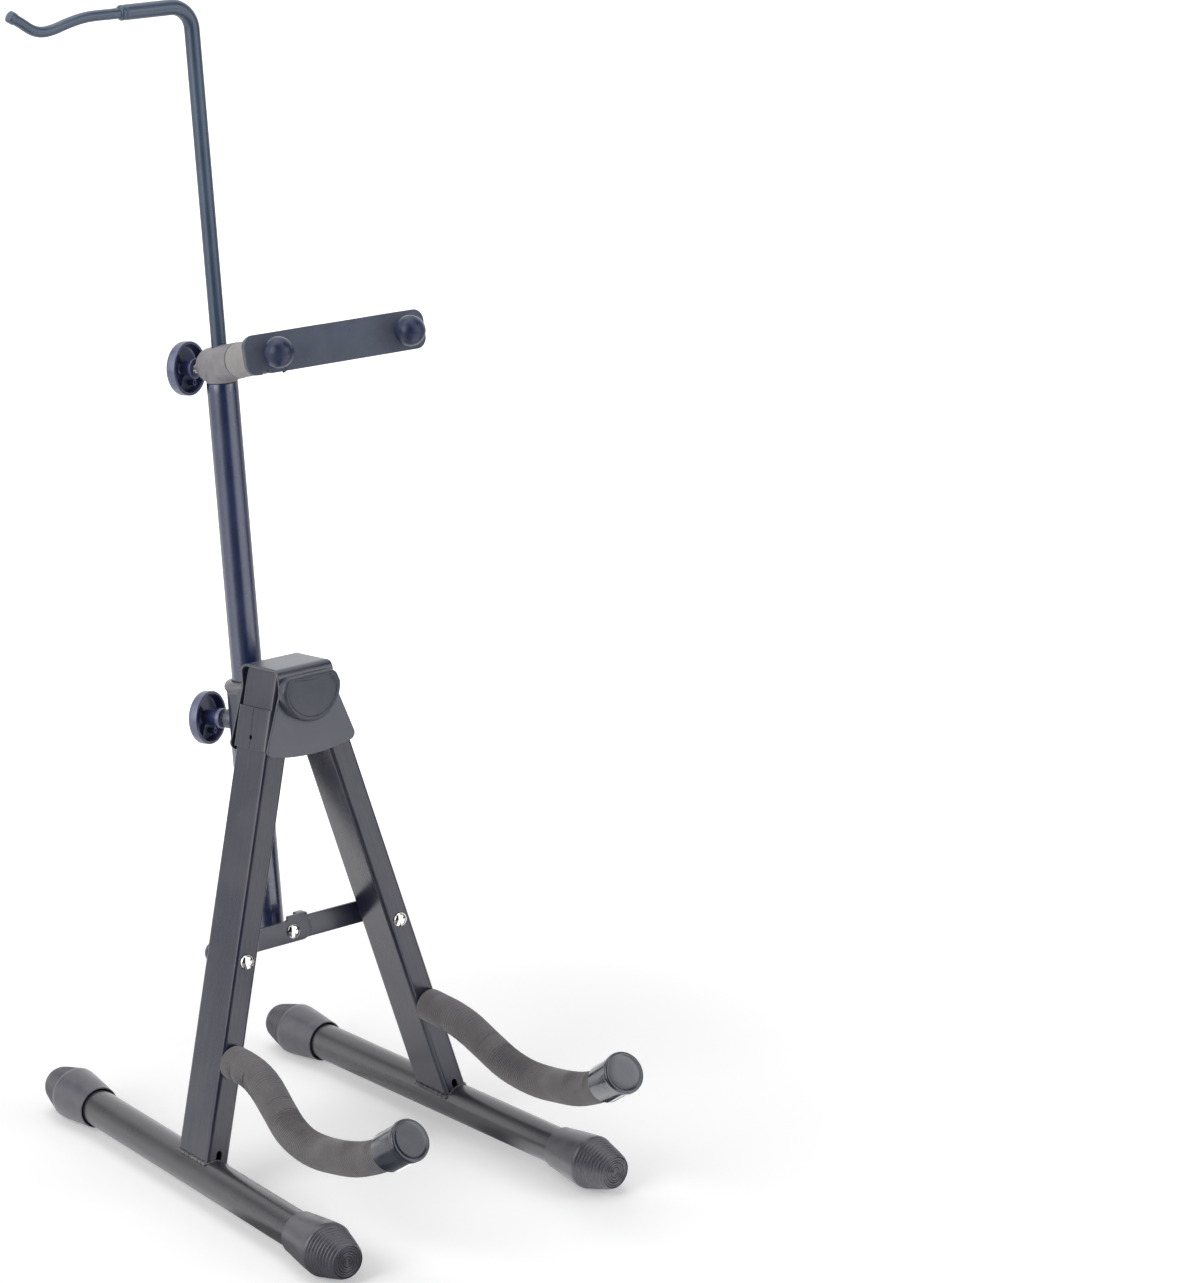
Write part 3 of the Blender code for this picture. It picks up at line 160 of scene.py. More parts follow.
class StandPlaces:
    """The local frames of the stand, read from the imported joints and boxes."""

    def __init__(self, joints: list[dict]) -> None:
        """Keep each joint's place and axis and work out the leaning frame.

        Args:
            joints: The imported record's joints.
        """
        self.spots = {j["name"]: np.array(j["pos_m"], float) for j in joints}
        self.axes = {j["name"]: unit(np.array(j["axis"], float)) for j in joints}
        up = self.axes["post_slide"]
        across = np.array((1.0, 0.0, 0.0))
        back = np.cross(up, across)
        middle = (self.spots["left_leg_hinge"] + self.spots["right_leg_hinge"]) / 2
        foot = middle - up * middle[2] / up[2]
        self.lean = Place(foot, np.array((across, back, up)))
        behind = self.lean.local(self.spots["post_slide"])[1]
        self.post = self.lean.moved(y=behind)

    def leg(self, side: Side) -> Place:
        """Return a leg's frame: origin on its pivot, Z up the leg and Y to the rear."""
        hinge = self.spots[f"{side.word}_leg_hinge"]
        up = unit(hinge - self.spots[f"{side.word}_brace_hinge"])
        back = self.lean.axes[1]
        return Place(hinge, np.array((np.cross(back, up), back, up)))

    def foot(self, side: Side, ring_radius: float) -> Place:
        """Return a foot tube's frame: origin at mid length and Z forward along it.

        Args:
            side: The side of the stand.
            ring_radius: The radius of the cap's widest ring, which sets the axis height.

        Returns:
            The frame, from the boxes of the two caps.
        """
        ends = {}
        for end in FootEnd:
            low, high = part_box(f"{side.word}_foot_cap_{end.word}")
            middle = [(low[k] + high[k]) / 2 for k in range(2)]
            ends[end] = np.array((*middle, high[2] - ring_radius))
        forward = unit(ends[FootEnd.FRONT] - ends[FootEnd.BACK])
        up = np.array((0.0, 0.0, 1.0))
        middle = (ends[FootEnd.FRONT] + ends[FootEnd.BACK]) / 2
        return Place(middle, np.array((np.cross(up, forward), up, forward)))

    def knob(self, joint: str) -> Place:
        """Return a knob's frame: origin on the post's axis and Z outwards along the stud."""
        middle = self.post.moved(z=self.post.local(self.spots[joint])[2]).origin
        down, outward = -self.post.axes[2], self.axes[joint]
        return Place(middle, np.array((np.cross(down, outward), down, outward)))


# Outlines, profiles and paths

def arc(centre: Sequence[float], radius: float, start: float, end: float, count: int = 8) -> Points:
    """Return an arc: centre plus radius times the cosine and sine of angles in degrees."""
    angle = np.radians(np.linspace(start, end, count + 1))
    return np.column_stack((centre[0] + radius * np.cos(angle), centre[1] + radius * np.sin(angle)))


def around(count: int) -> Points:
    """Return evenly spaced angles of a whole turn, from zero."""
    return np.arange(count) * 2 * np.pi / count


def rounded_rectangle(half_x: float, half_y: float, radius: float, count: int = 6) -> Points:
    """Return a rectangle's outline with round corners, anticlockwise from the right side.

    Args:
        half_x: Half its width.
        half_y: Half its height.
        radius: The radius of its corners.
        count: The steps of each corner.

    Returns:
        The outline's points, without the first repeated.
    """
    x, y = half_x - radius, half_y - radius
    corners = [arc((x, y), radius, 0, 90, count), arc((-x, y), radius, 90, 180, count),
               arc((-x, -y), radius, 180, 270, count), arc((x, -y), radius, 270, 360, count)]
    return np.vstack(corners)


def travelled(path: Points) -> Points:
    """Return the distance along a path at each of its points."""
    return np.concatenate(((0.0,), np.cumsum(np.linalg.norm(np.diff(path, axis=0), axis=1))))


def along_outline(outline: Points, places: Points) -> Points:
    """Return points of a closed outline at distances along it, wrapped past its length.

    Args:
        outline: The outline's corner points.
        places: Distances along it, of any shape.

    Returns:
        The points, with one more axis than the distances have.
    """
    closed = np.vstack((outline, outline[:1]))
    reach = travelled(closed)
    wrapped = np.mod(places, reach[-1])
    return np.stack([np.interp(wrapped, reach, closed[:, k]) for k in range(closed.shape[1])], axis=-1)


def evenly(outline: Points, count: int) -> Points:
    """Return a closed outline at evenly spaced points."""
    length = travelled(np.vstack((outline, outline[:1])))[-1]
    return along_outline(outline, np.arange(count) * length / count)


def smooth_path(points: Points, count: int) -> Points:
    """Return points of a Catmull-Rom curve, a cubic through each pair of given points.

    Args:
        points: The points that the curve passes through.
        count: The number of points wanted.

    Returns:
        The curve's points, evenly spaced between each pair of given points.
    """
    ends = np.vstack((2 * points[0] - points[1], points, 2 * points[-1] - points[-2]))
    place = np.linspace(0, len(points) - 1, count)
    knot = np.minimum(place.astype(int), len(points) - 2)
    step = (place - knot)[:, None]
    a, b, c, d = (ends[knot + k] for k in range(4))
    return 0.5 * (2 * b + (c - a) * step + (2 * a - 5 * b + 4 * c - d) * step ** 2
                  + (3 * b - a - 3 * c + d) * step ** 3)


def stretch(path: Points, start: float, end: float, count: int) -> Points:
    """Return the part of a path between two distances along it, at even steps."""
    reach = travelled(path)
    places = np.linspace(start, end, count)
    return np.column_stack([np.interp(places, reach, path[:, k]) for k in range(3)])


def smooth_step(value: Points, low: float, high: float) -> Points:
    """Return 0 below low, 1 above high and a cubic ease between them."""
    share = np.clip((value - low) / (high - low), 0.0, 1.0)
    return share * share * (3 - 2 * share)


# Surfaces

def grid_faces(rows: int, columns: int, wrap_rows: bool, wrap_columns: bool) -> Points:
    """Return the four corners of each cell of a grid whose points are numbered row by row.

    Args:
        rows: The number of rows.
        columns: The number of columns.
        wrap_rows: Whether the last row joins the first.
        wrap_columns: Whether the last column joins the first.

    Returns:
        An array of faces by four corners.
    """
    row = np.arange(rows if wrap_rows else rows - 1)[:, None]
    column = np.arange(columns if wrap_columns else columns - 1)[None, :]
    above, beside = (row + 1) % rows, (column + 1) % columns
    corners = (row * columns + column, row * columns + beside,
               above * columns + beside, above * columns + column)
    return np.stack(np.broadcast_arrays(*corners), axis=-1).reshape(-1, 4)


def surface(name: str, points: Points, wrap_rows: bool = False, wrap_columns: bool = True,
            inside: Points | None = None, fill: bool = False) -> Piece:
    """Make an object from a grid of points, with its seams and poles welded.

    Args:
        name: The object's name.
        points: Rows by columns by three coordinates, in the stand's frame.
        wrap_rows: Whether the last row joins the first.
        wrap_columns: Whether the last column joins the first.
        inside: A point that the faces of an open sheet turn away from.
        fill: Whether open rims are closed with flat faces.

    Returns:
        The new object, at the origin.
    """
    rows, columns = points.shape[:2]
    mesh = bpy.data.meshes.new(name)
    faces = grid_faces(rows, columns, wrap_rows, wrap_columns)
    mesh.from_pydata(points.reshape(-1, 3).tolist(), [], faces.tolist())
    work = bmesh.new()
    work.from_mesh(mesh)
    bmesh.ops.remove_doubles(work, verts=work.verts, dist=MERGE_DISTANCE)
    bmesh.ops.dissolve_degenerate(work, edges=work.edges, dist=MERGE_DISTANCE / 2)
    if fill:
        bmesh.ops.holes_fill(work, edges=[edge for edge in work.edges if edge.is_boundary], sides=0)
    bmesh.ops.recalc_face_normals(work, faces=work.faces)
    if inside is not None:
        middle = Vector(inside)
        flux = sum(face.calc_area() * face.normal.dot(face.calc_center_median() - middle)
                   for face in work.faces)
        if flux < 0:
            bmesh.ops.reverse_faces(work, faces=work.faces)
    work.to_mesh(mesh)
    work.free()
    made = bpy.data.objects.new(name, mesh)
    bpy.context.scene.collection.objects.link(made)
    return made


def points_of(obj: Piece) -> Points:
    """Return a piece's points, one row each."""
    points = np.empty(len(obj.data.vertices) * 3)
    obj.data.vertices.foreach_get("co", points)
    return points.reshape(-1, 3)


def reshape(obj: Piece, change: Callable[[Points], Points]) -> None:
    """Put a piece's points where a function of them says."""
    obj.data.vertices.foreach_set("co", change(points_of(obj)).ravel())


def rings(radius: Points, height: Points, columns: int) -> Points:
    """Return points round Z: x and y are the radius times the cosine and sine of the angle.

    Args:
        radius: The radii, as rows by columns or as rows by one.
        height: The heights, in either form.
        columns: The number of points round.

    Returns:
        Rows by columns by three coordinates.
    """
    angle = around(columns)
    flat = (radius * np.cos(angle), radius * np.sin(angle), height)
    return np.stack(np.broadcast_arrays(*flat), axis=-1)


def turned(name: str, profile: Points, place: Place, steps: int = 64,
           wrap_rows: bool = False) -> Piece:
    """Turn a profile of radius and z about Z; wrap_rows closes a ring such as a tube's wall."""
    radius, height = np.asarray(profile, float).T
    return surface(name, place.world(rings(radius[:, None], height[:, None], steps)), wrap_rows=wrap_rows)


def swept_points(path: Points, radius: Points, reference: Points) -> Points:
    """Carry rings along a path: each point is the path's, plus radius times the cosine of
    the angle along a side direction and its sine along the direction square to both.

    Args:
        path: The centre line's points.
        radius: Rows by columns of radii, or a single row to be repeated.
        reference: A direction that is never along the path; the angle is zero there.

    Returns:
        Rows by columns by three coordinates.
    """
    ahead = unit(np.gradient(path, axis=0))
    side = unit(reference - (ahead @ reference)[:, None] * ahead)
    square = np.cross(ahead, side)
    radius = np.broadcast_to(radius, (len(path), np.shape(radius)[-1]))
    angle = around(radius.shape[1])
    return (path[:, None] + radius[..., None] * (np.cos(angle)[None, :, None] * side[:, None]
                                                 + np.sin(angle)[None, :, None] * square[:, None]))


def slab(name: str, outline: Points, low: float, high: float, place: Place, edge: float = 0.0003,
         steps: int = 3) -> Piece:
    """Raise an outline along Z with rounded rims: at each rim the outline draws in along
    its own normal by edge times one less the sine, while z follows the cosine.

    Args:
        name: The object's name.
        outline: The closed outline, anticlockwise.
        low: The lower face.
        high: The upper face.
        place: The frame that it stands in.
        edge: The radius of its rims.
        steps: The steps of each rim.

    Returns:
        The new object.
    """
    ahead = unit(np.roll(outline, -1, axis=0) - np.roll(outline, 1, axis=0))
    outward = np.column_stack((ahead[:, 1], -ahead[:, 0]))
    turn = np.linspace(0, np.pi / 2, steps + 1)
    draw = np.concatenate((edge * (1 - np.sin(turn)), edge * (1 - np.sin(turn[::-1]))))
    level = np.concatenate((low + edge * (1 - np.cos(turn)), high - edge * (1 - np.cos(turn[::-1]))))
    flat = outline[None] - draw[:, None, None] * outward[None]
    local = np.concatenate((flat, np.broadcast_to(level[:, None, None], flat.shape[:2] + (1,))), axis=-1)
    return surface(name, place.world(local), fill=True)


def thicken(obj: Piece, thickness: float, edge: float, even: bool = True) -> None:
    """Give an outward-facing sheet its wall, inwards, with soft rims.

    Args:
        obj: The sheet.
        thickness: The wall.
        edge: The radius of its rims.
        even: Whether the wall keeps its thickness round sharp bends.
    """
    wall = obj.modifiers.new("wall", "SOLIDIFY")
    wall.thickness = thickness
    wall.offset = -1.0
    wall.use_even_offset = even
    rim = obj.modifiers.new("rim", "BEVEL")
    rim.width = edge
    rim.segments = 2
    rim.limit_method = "ANGLE"
    rim.angle_limit = math.radians(50)
    shading = obj.modifiers.new("even_shading", "WEIGHTED_NORMAL")
    shading.keep_sharp = True


# Materials

class Nodes:
    """A node tree in the making, with short calls for its nodes."""

    def __init__(self, tree: bpy.types.NodeTree) -> None:
        """Keep the tree that the nodes go to."""
        self.tree = tree

    def node(self, kind: str, sockets: dict | None = None, **settings) -> bpy.types.Node:
        """Add a node, set its options, and fill or link its sockets.

        Args:
            kind: The node's type name.
            sockets: Values or output sockets, by the input's name or number.
            **settings: The node's own options.

        Returns:
            The node.
        """
        made = self.tree.nodes.new(kind)
        for word, value in settings.items():
            setattr(made, word, value)
        for word, value in (sockets or {}).items():
            if isinstance(value, Socket):
                self.tree.links.new(value, made.inputs[word])
            else:
                made.inputs[word].default_value = value
        return made

    def worked(self, operation: str, *values: Socket | float) -> Socket:
        """Return what a Math node makes of values or sockets."""
        return self.node("ShaderNodeMath", dict(enumerate(values)), operation=operation).outputs[0]

    def mixed(self, share: Socket, first: Socket | float, second: Socket | float) -> Socket:
        """Return a value between two, the second where share is 1."""
        return self.node("ShaderNodeMix", {"Factor": share, "A": first, "B": second}).outputs["Result"]

    def arrow(self, operation: str, output: str, *values: Socket | Spot) -> Socket:
        """Return the named output of a Vector Math node."""
        return self.node("ShaderNodeVectorMath", dict(enumerate(values)), operation=operation).outputs[output]

    def ease(self, value: Socket, low: float, high: float, to_low: float = 0.0,
             to_high: float = 1.0) -> Socket:
        """Return a value whose range low to high is mapped smoothly to a new range.

        Args:
            value: The socket to map.
            low: Where the range starts.
            high: Where the range ends.
            to_low: What the start becomes.
            to_high: What the end becomes.

        Returns:
            The mapped value.
        """
        sockets = {"Value": value, "From Min": low, "From Max": high, "To Min": to_low, "To Max": to_high}
        return self.node("ShaderNodeMapRange", sockets, interpolation_type="SMOOTHSTEP").outputs["Result"]


class Shader(Nodes):
    """A Principled material in the making."""

    def __init__(self, name: str) -> None:
        """Start the material under this name."""
        self.material = bpy.data.materials.new(name)
        self.material.use_nodes = True
        super().__init__(self.material.node_tree)
        self.principled = self.tree.nodes["Principled BSDF"]

    def set(self, **sockets: float) -> None:
        """Set the shader's own sockets; an underscore stands for a space in a socket's name."""
        for word, value in sockets.items():
            self.principled.inputs[word.replace("_", " ")].default_value = value

    def coordinates(self, grain: bool = False, stretch_by: Spot = (1.0, 1.0, 1.0)) -> Socket:
        """Return the object's coordinates, or the piece's own grain, stretched by a factor."""
        if grain:
            source = self.node("ShaderNodeAttribute", attribute_name="grain").outputs["Vector"]
        else:
            source = self.node("ShaderNodeTexCoord").outputs["Object"]
        return self.node("ShaderNodeMapping", {"Vector": source, "Scale": stretch_by}).outputs["Vector"]

    def noise(self, vector: Socket, size: float, detail: float = 2.0) -> Socket:
        """Return soft noise whose blobs measure about size in metres."""
        sockets = {"Vector": vector, "Scale": 1 / size, "Detail": detail}
        return self.node("ShaderNodeTexNoise", sockets).outputs["Fac"]

    def cells(self, vector: Socket, size: float) -> Socket:
        """Return the distance to the middle of cells that measure about size in metres."""
        return self.node("ShaderNodeTexVoronoi", {"Vector": vector, "Scale": 1 / size}).outputs["Distance"]

    def sum(self, first: Socket, second: Socket, weight: float) -> Socket:
        """Return the first value plus weight times the second."""
        return self.worked("MULTIPLY_ADD", second, weight, first)

    def mix(self, share: Socket, first: Colour, second: Colour) -> Socket:
        """Return a colour between two, the second where share is 1."""
        sockets = {"Factor": share, 6: (*first, 1.0), 7: (*second, 1.0)}
        return self.node("ShaderNodeMix", sockets, data_type="RGBA").outputs[2]

    def join(self, word: str, value: Socket) -> None:
        """Link a value to one of the shader's sockets."""
        self.tree.links.new(value, self.principled.inputs[word])

    def bump(self, height: Socket, depth: float) -> None:
        """Raise the surface by height times depth in metres."""
        node = self.node("ShaderNodeBump", {"Height": height, "Distance": depth, "Strength": 1.0})
        self.join("Normal", node.outputs["Normal"])


@dataclass(frozen=True)
class Finish:
    """A surface finish: its colour drifts between two, and a subclass adds its texture."""

    name: str
    slot: str
    colour: Colour
    worn: Colour
    roughness: float

    def material(self) -> bpy.types.Material:
        """Return this finish's material, made on first use."""
        made = bpy.data.materials.get(self.name)
        if made is None:
            shader = Shader(self.name)
            self.texture(shader)
            made = shader.material
        return made

    def texture(self, shader: Shader) -> None:
        """Add the finish's nodes to a shader."""
        raise NotImplementedError


@dataclass(frozen=True)
class PaintedSteel(Finish):
    """Semi-gloss powder coat: an orange-peel skin over steel whose drawn lines show through."""

    peel: float = 0.000012
    drawn: float = 0.0
    specular: float = 0.5

    def texture(self, shader: Shader) -> None:
        """Mix drawn streaks and slow clouds into the colour, and peel into the height."""
        shader.set(IOR=1.5, Specular_IOR_Level=self.specular)
        plain = shader.coordinates()
        cloud = shader.noise(plain, 0.030, 4.0)
        peel = shader.noise(plain, 0.0011, 2.0)
        dust = shader.noise(plain, 0.00035, 1.0)
        tone = shader.sum(shader.ease(cloud, 0.3, 0.7), dust, 0.25)
        height = peel
        if self.drawn:
            lines = shader.noise(shader.coordinates(True, (1.0, 1.0, 0.012)), 0.0009, 3.0)
            tone = shader.sum(tone, shader.ease(lines, 0.35, 0.75), self.drawn)
            height = shader.sum(peel, lines, 1.5)
        shader.join("Base Color", shader.mix(shader.ease(tone, 0.2, 1.4), self.colour, self.worn))
        sheen = shader.ease(cloud, 0.3, 0.7, self.roughness - 0.02, self.roughness + 0.02)
        shader.join("Roughness", shader.sum(sheen, dust, 0.05))
        shader.bump(height, self.peel)


@dataclass(frozen=True)
class Foam(Finish):
    """Closed-cell foam: fine open pores and a dull bloom over slow patches of tone."""

    pore: float = 0.0005
    depth: float = 0.00012

    def texture(self, shader: Shader) -> None:
        """Mix pores and patches into the colour and the height."""
        shader.set(Roughness=self.roughness, Sheen_Weight=0.25, Sheen_Roughness=0.6, Specular_IOR_Level=0.25)
        plain = shader.coordinates()
        patches = shader.noise(plain, 0.012, 4.0)
        pores = shader.cells(plain, self.pore)
        fine = shader.noise(plain, self.pore * 0.6, 3.0)
        tone = shader.sum(shader.ease(patches, 0.25, 0.75, 0.0, 0.3), shader.ease(pores, 0.05, 0.5), -0.45)
        tone = shader.sum(tone, fine, 0.8)
        shader.join("Base Color", shader.mix(shader.ease(tone, -0.2, 0.7), self.colour, self.worn))
        shader.bump(shader.sum(fine, pores, 0.8), self.depth)


@dataclass(frozen=True)
class Moulded(Finish):
    """Moulded plastic or rubber: a fine spark-eroded grain and a little dust."""

    grain: float = 0.00035
    depth: float = 0.00001
    specular: float = 0.5

    def texture(self, shader: Shader) -> None:
        """Mix dust into the colour and the roughness, and the grain into the height."""
        shader.set(Specular_IOR_Level=self.specular)
        plain = shader.coordinates()
        dust = shader.noise(plain, 0.006, 6.0)
        grain = shader.noise(plain, self.grain, 2.0)
        tone = shader.sum(shader.ease(dust, 0.35, 0.75), grain, 0.3)
        shader.join("Base Color", shader.mix(shader.ease(tone, 0.0, 1.3), self.colour, self.worn))
        shader.join("Roughness", shader.ease(tone, 0.0, 1.3, self.roughness - 0.05, self.roughness + 0.08))
        shader.bump(grain, self.depth)


@dataclass(frozen=True)
class Plated(Finish):
    """Plated steel: bright metal with hair scratches and a dull bloom in patches."""

    def texture(self, shader: Shader) -> None:
        """Mix bloom into the colour, and scratches into the roughness and the height."""
        shader.set(Metallic=1.0)
        plain = shader.coordinates()
        bloom = shader.noise(plain, 0.003, 4.0)
        scratches = shader.noise(shader.coordinates(False, (1.0, 0.08, 1.0)), 0.0003, 2.0)
        shader.join("Base Color", shader.mix(shader.ease(bloom, 0.3, 0.7), self.colour, self.worn))
        rough = shader.ease(bloom, 0.3, 0.7, self.roughness, self.roughness + 0.15)
        shader.join("Roughness", shader.sum(rough, scratches, 0.1))
        shader.bump(scratches, 0.000004)


FRAME_PAINT = PaintedSteel("frame_paint", "powder_coat", (0.014, 0.018, 0.039), (0.029, 0.032, 0.051), 0.32,
                           specular=0.65)
LEG_PAINT = PaintedSteel("leg_paint", "powder_coat", (0.014, 0.015, 0.034), (0.030, 0.029, 0.045), 0.22,
                         peel=0.000004, drawn=0.7, specular=0.42)
POST_PAINT = PaintedSteel("post_paint", "powder_coat", (0.003, 0.010, 0.052), (0.006, 0.015, 0.064), 0.25,
                          peel=0.000002, specular=0.95)
HOOK_PAINT = PaintedSteel("hook_paint", "powder_coat", (0.020, 0.042, 0.080), (0.032, 0.058, 0.100), 0.36,
                          peel=0.000004, specular=0.6)
FOOT_PAINT = PaintedSteel("foot_paint", "powder_coat", (0.026, 0.024, 0.031), (0.035, 0.032, 0.038), 0.26,
                          peel=0.000006, specular=0.6)
WELD_PAINT = PaintedSteel("weld_paint", "powder_coat", (0.045, 0.046, 0.056), (0.100, 0.098, 0.106), 0.30,
                          peel=0.00006)
ARM_FOAM = Foam("arm_foam", "foam", (0.078, 0.072, 0.077), (0.142, 0.133, 0.137), 0.90)
NECK_FOAM = Foam("neck_foam", "foam", (0.235, 0.222, 0.222), (0.325, 0.312, 0.308), 0.94, pore=0.0004)
FACING_FOAM = Foam("facing_foam", "foam", (0.058, 0.070, 0.108), (0.100, 0.114, 0.158), 0.80, pore=0.0003,
                   depth=0.00004)
CAP_RUBBER = Moulded("cap_rubber", "rubber", (0.058, 0.058, 0.072), (0.078, 0.078, 0.092), 0.36,
                     depth=0.000006)
PAD_RUBBER = Moulded("pad_rubber", "rubber", (0.028, 0.033, 0.046), (0.044, 0.050, 0.064), 0.44,
                     depth=0.00002, specular=0.4)
BALL_RUBBER = Moulded("ball_rubber", "rubber", (0.014, 0.022, 0.056), (0.026, 0.035, 0.074), 0.34,
                      specular=0.25)
KNOB_PLASTIC = Moulded("knob_plastic", "black_plastic", (0.022, 0.031, 0.100), (0.034, 0.045, 0.125), 0.36,
                       specular=1.0)
BUSH_PLASTIC = Moulded("bush_plastic", "grey_plastic", (0.105, 0.101, 0.114), (0.145, 0.141, 0.154), 0.42)
CLAMP_PLASTIC = Moulded("clamp_plastic", "grey_plastic", (0.190, 0.180, 0.192), (0.245, 0.234, 0.246), 0.62,
                        depth=0.00003)
BLACK_PLASTIC = Moulded("black_plastic_parts", "black_plastic", (0.020, 0.021, 0.026), (0.036, 0.037, 0.042),
                        0.40)
TIP_PLASTIC = Moulded("tip_plastic", "black_plastic", (0.035, 0.060, 0.095), (0.055, 0.085, 0.125), 0.38)
PLUG_PLASTIC = Moulded("plug_plastic", "gloss_plastic", (0.018, 0.022, 0.034), (0.034, 0.040, 0.054), 0.14)
NICKEL = Plated("nickel", "nickel", (0.30, 0.272, 0.255), (0.20, 0.184, 0.172), 0.34)


def write_grain(obj: Piece, place: Place) -> None:
    """Keep each point's place in a frame, whose Z runs along the drawn steel, as grain."""
    attribute = obj.data.attributes.new("grain", "FLOAT_VECTOR", "POINT")
    attribute.data.foreach_set("vector", place.local(points_of(obj)).ravel())


def dress(obj: Piece, finish: Finish, body: str, *nodes: str, place: Place | None = None,
          crease: float = 40.0, fill: float | None = None) -> None:
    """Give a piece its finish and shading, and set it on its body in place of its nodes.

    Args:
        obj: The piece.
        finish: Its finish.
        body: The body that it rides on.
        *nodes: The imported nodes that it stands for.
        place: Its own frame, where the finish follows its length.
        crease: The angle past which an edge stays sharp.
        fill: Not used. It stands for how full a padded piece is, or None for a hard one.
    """
    obj.data.materials.clear()
    obj.data.materials.append(finish.material())
    obj.data.shade_smooth()
    obj.data.set_sharp_from_angle(angle=math.radians(crease))
    if place is not None:
        write_grain(obj, place)
    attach(obj, body)
    if nodes:
        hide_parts(*nodes)
    LOG.info("%s: %d faces", obj.name, len(obj.data.polygons))


def coat(frame: dict, finish: Finish, *nodes: str) -> None:
    """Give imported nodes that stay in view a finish.

    Args:
        frame: The loaded frame.
        finish: The finish.
        *nodes: The names of the nodes.
    """
    for name in nodes:
        item = frame["nodes"][name]
        item.data.materials.clear()
        item.data.materials.append(finish.material())
        LOG.info("%s: coated", name)


def dome(radius: float, height: float, level: float, steps: int = 8) -> Points:
    """Return a quarter ellipse from its top on the axis out to the radius at a level."""
    angle = np.linspace(0, np.pi / 2, steps + 1)
    return np.column_stack((radius * np.sin(angle), level + height * np.cos(angle)))


def rivet_profile(shank: float, low: float, high: float) -> Points:
    """Return a rivet's profile of radius and z, with a dome beyond each end of its shank."""
    ends = [np.vstack((dome(RIVET_HEAD, height, level), ((RIVET_HEAD, level), (shank, level))))
            for height, level in ((RIVET_DOME, high), (-RIVET_DOME, low))]
    return np.vstack((ends[0], ends[1][::-1]))


def pipe_profile(outer: float, inner: float, low: float, high: float, lip: float = 0.0003,
                 rows: int = 0) -> Points:
    """Return the closed ring of a tube's wall, with its outer rims rounded.

    Args:
        outer: The outer radius.
        inner: The inner radius.
        low: Where the tube starts.
        high: Where the tube ends.
        lip: The radius of its outer rims.
        rows: How many more points lie between the rims.

    Returns:
        The profile of radius and z.
    """
    level = np.linspace(high - lip, low + lip, rows + 2)[1:-1]
    upper = arc((outer - lip, high - lip), lip, 90, 0, 3)
    lower = arc((outer - lip, low + lip), lip, 0, -90, 3)
    wall = np.column_stack((np.full(rows, outer), level))
    return np.vstack((upper, wall, lower, ((inner, low), (inner, high))))


@dataclass(frozen=True)
class Assembly:
    """A sub-assembly of the stand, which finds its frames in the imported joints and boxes."""

    places: StandPlaces


@dataclass(frozen=True)
class LegAssembly(Assembly):
    """A sub-assembly that one of the two legs carries."""

    side: Side

    @property
    def body(self) -> str:
        """Return the body that the pieces ride on."""
        return self.named("leg")

    def named(self, rest: str) -> str:
        """Return a name that starts with the side."""
        return f"{self.side.word}_{rest}"


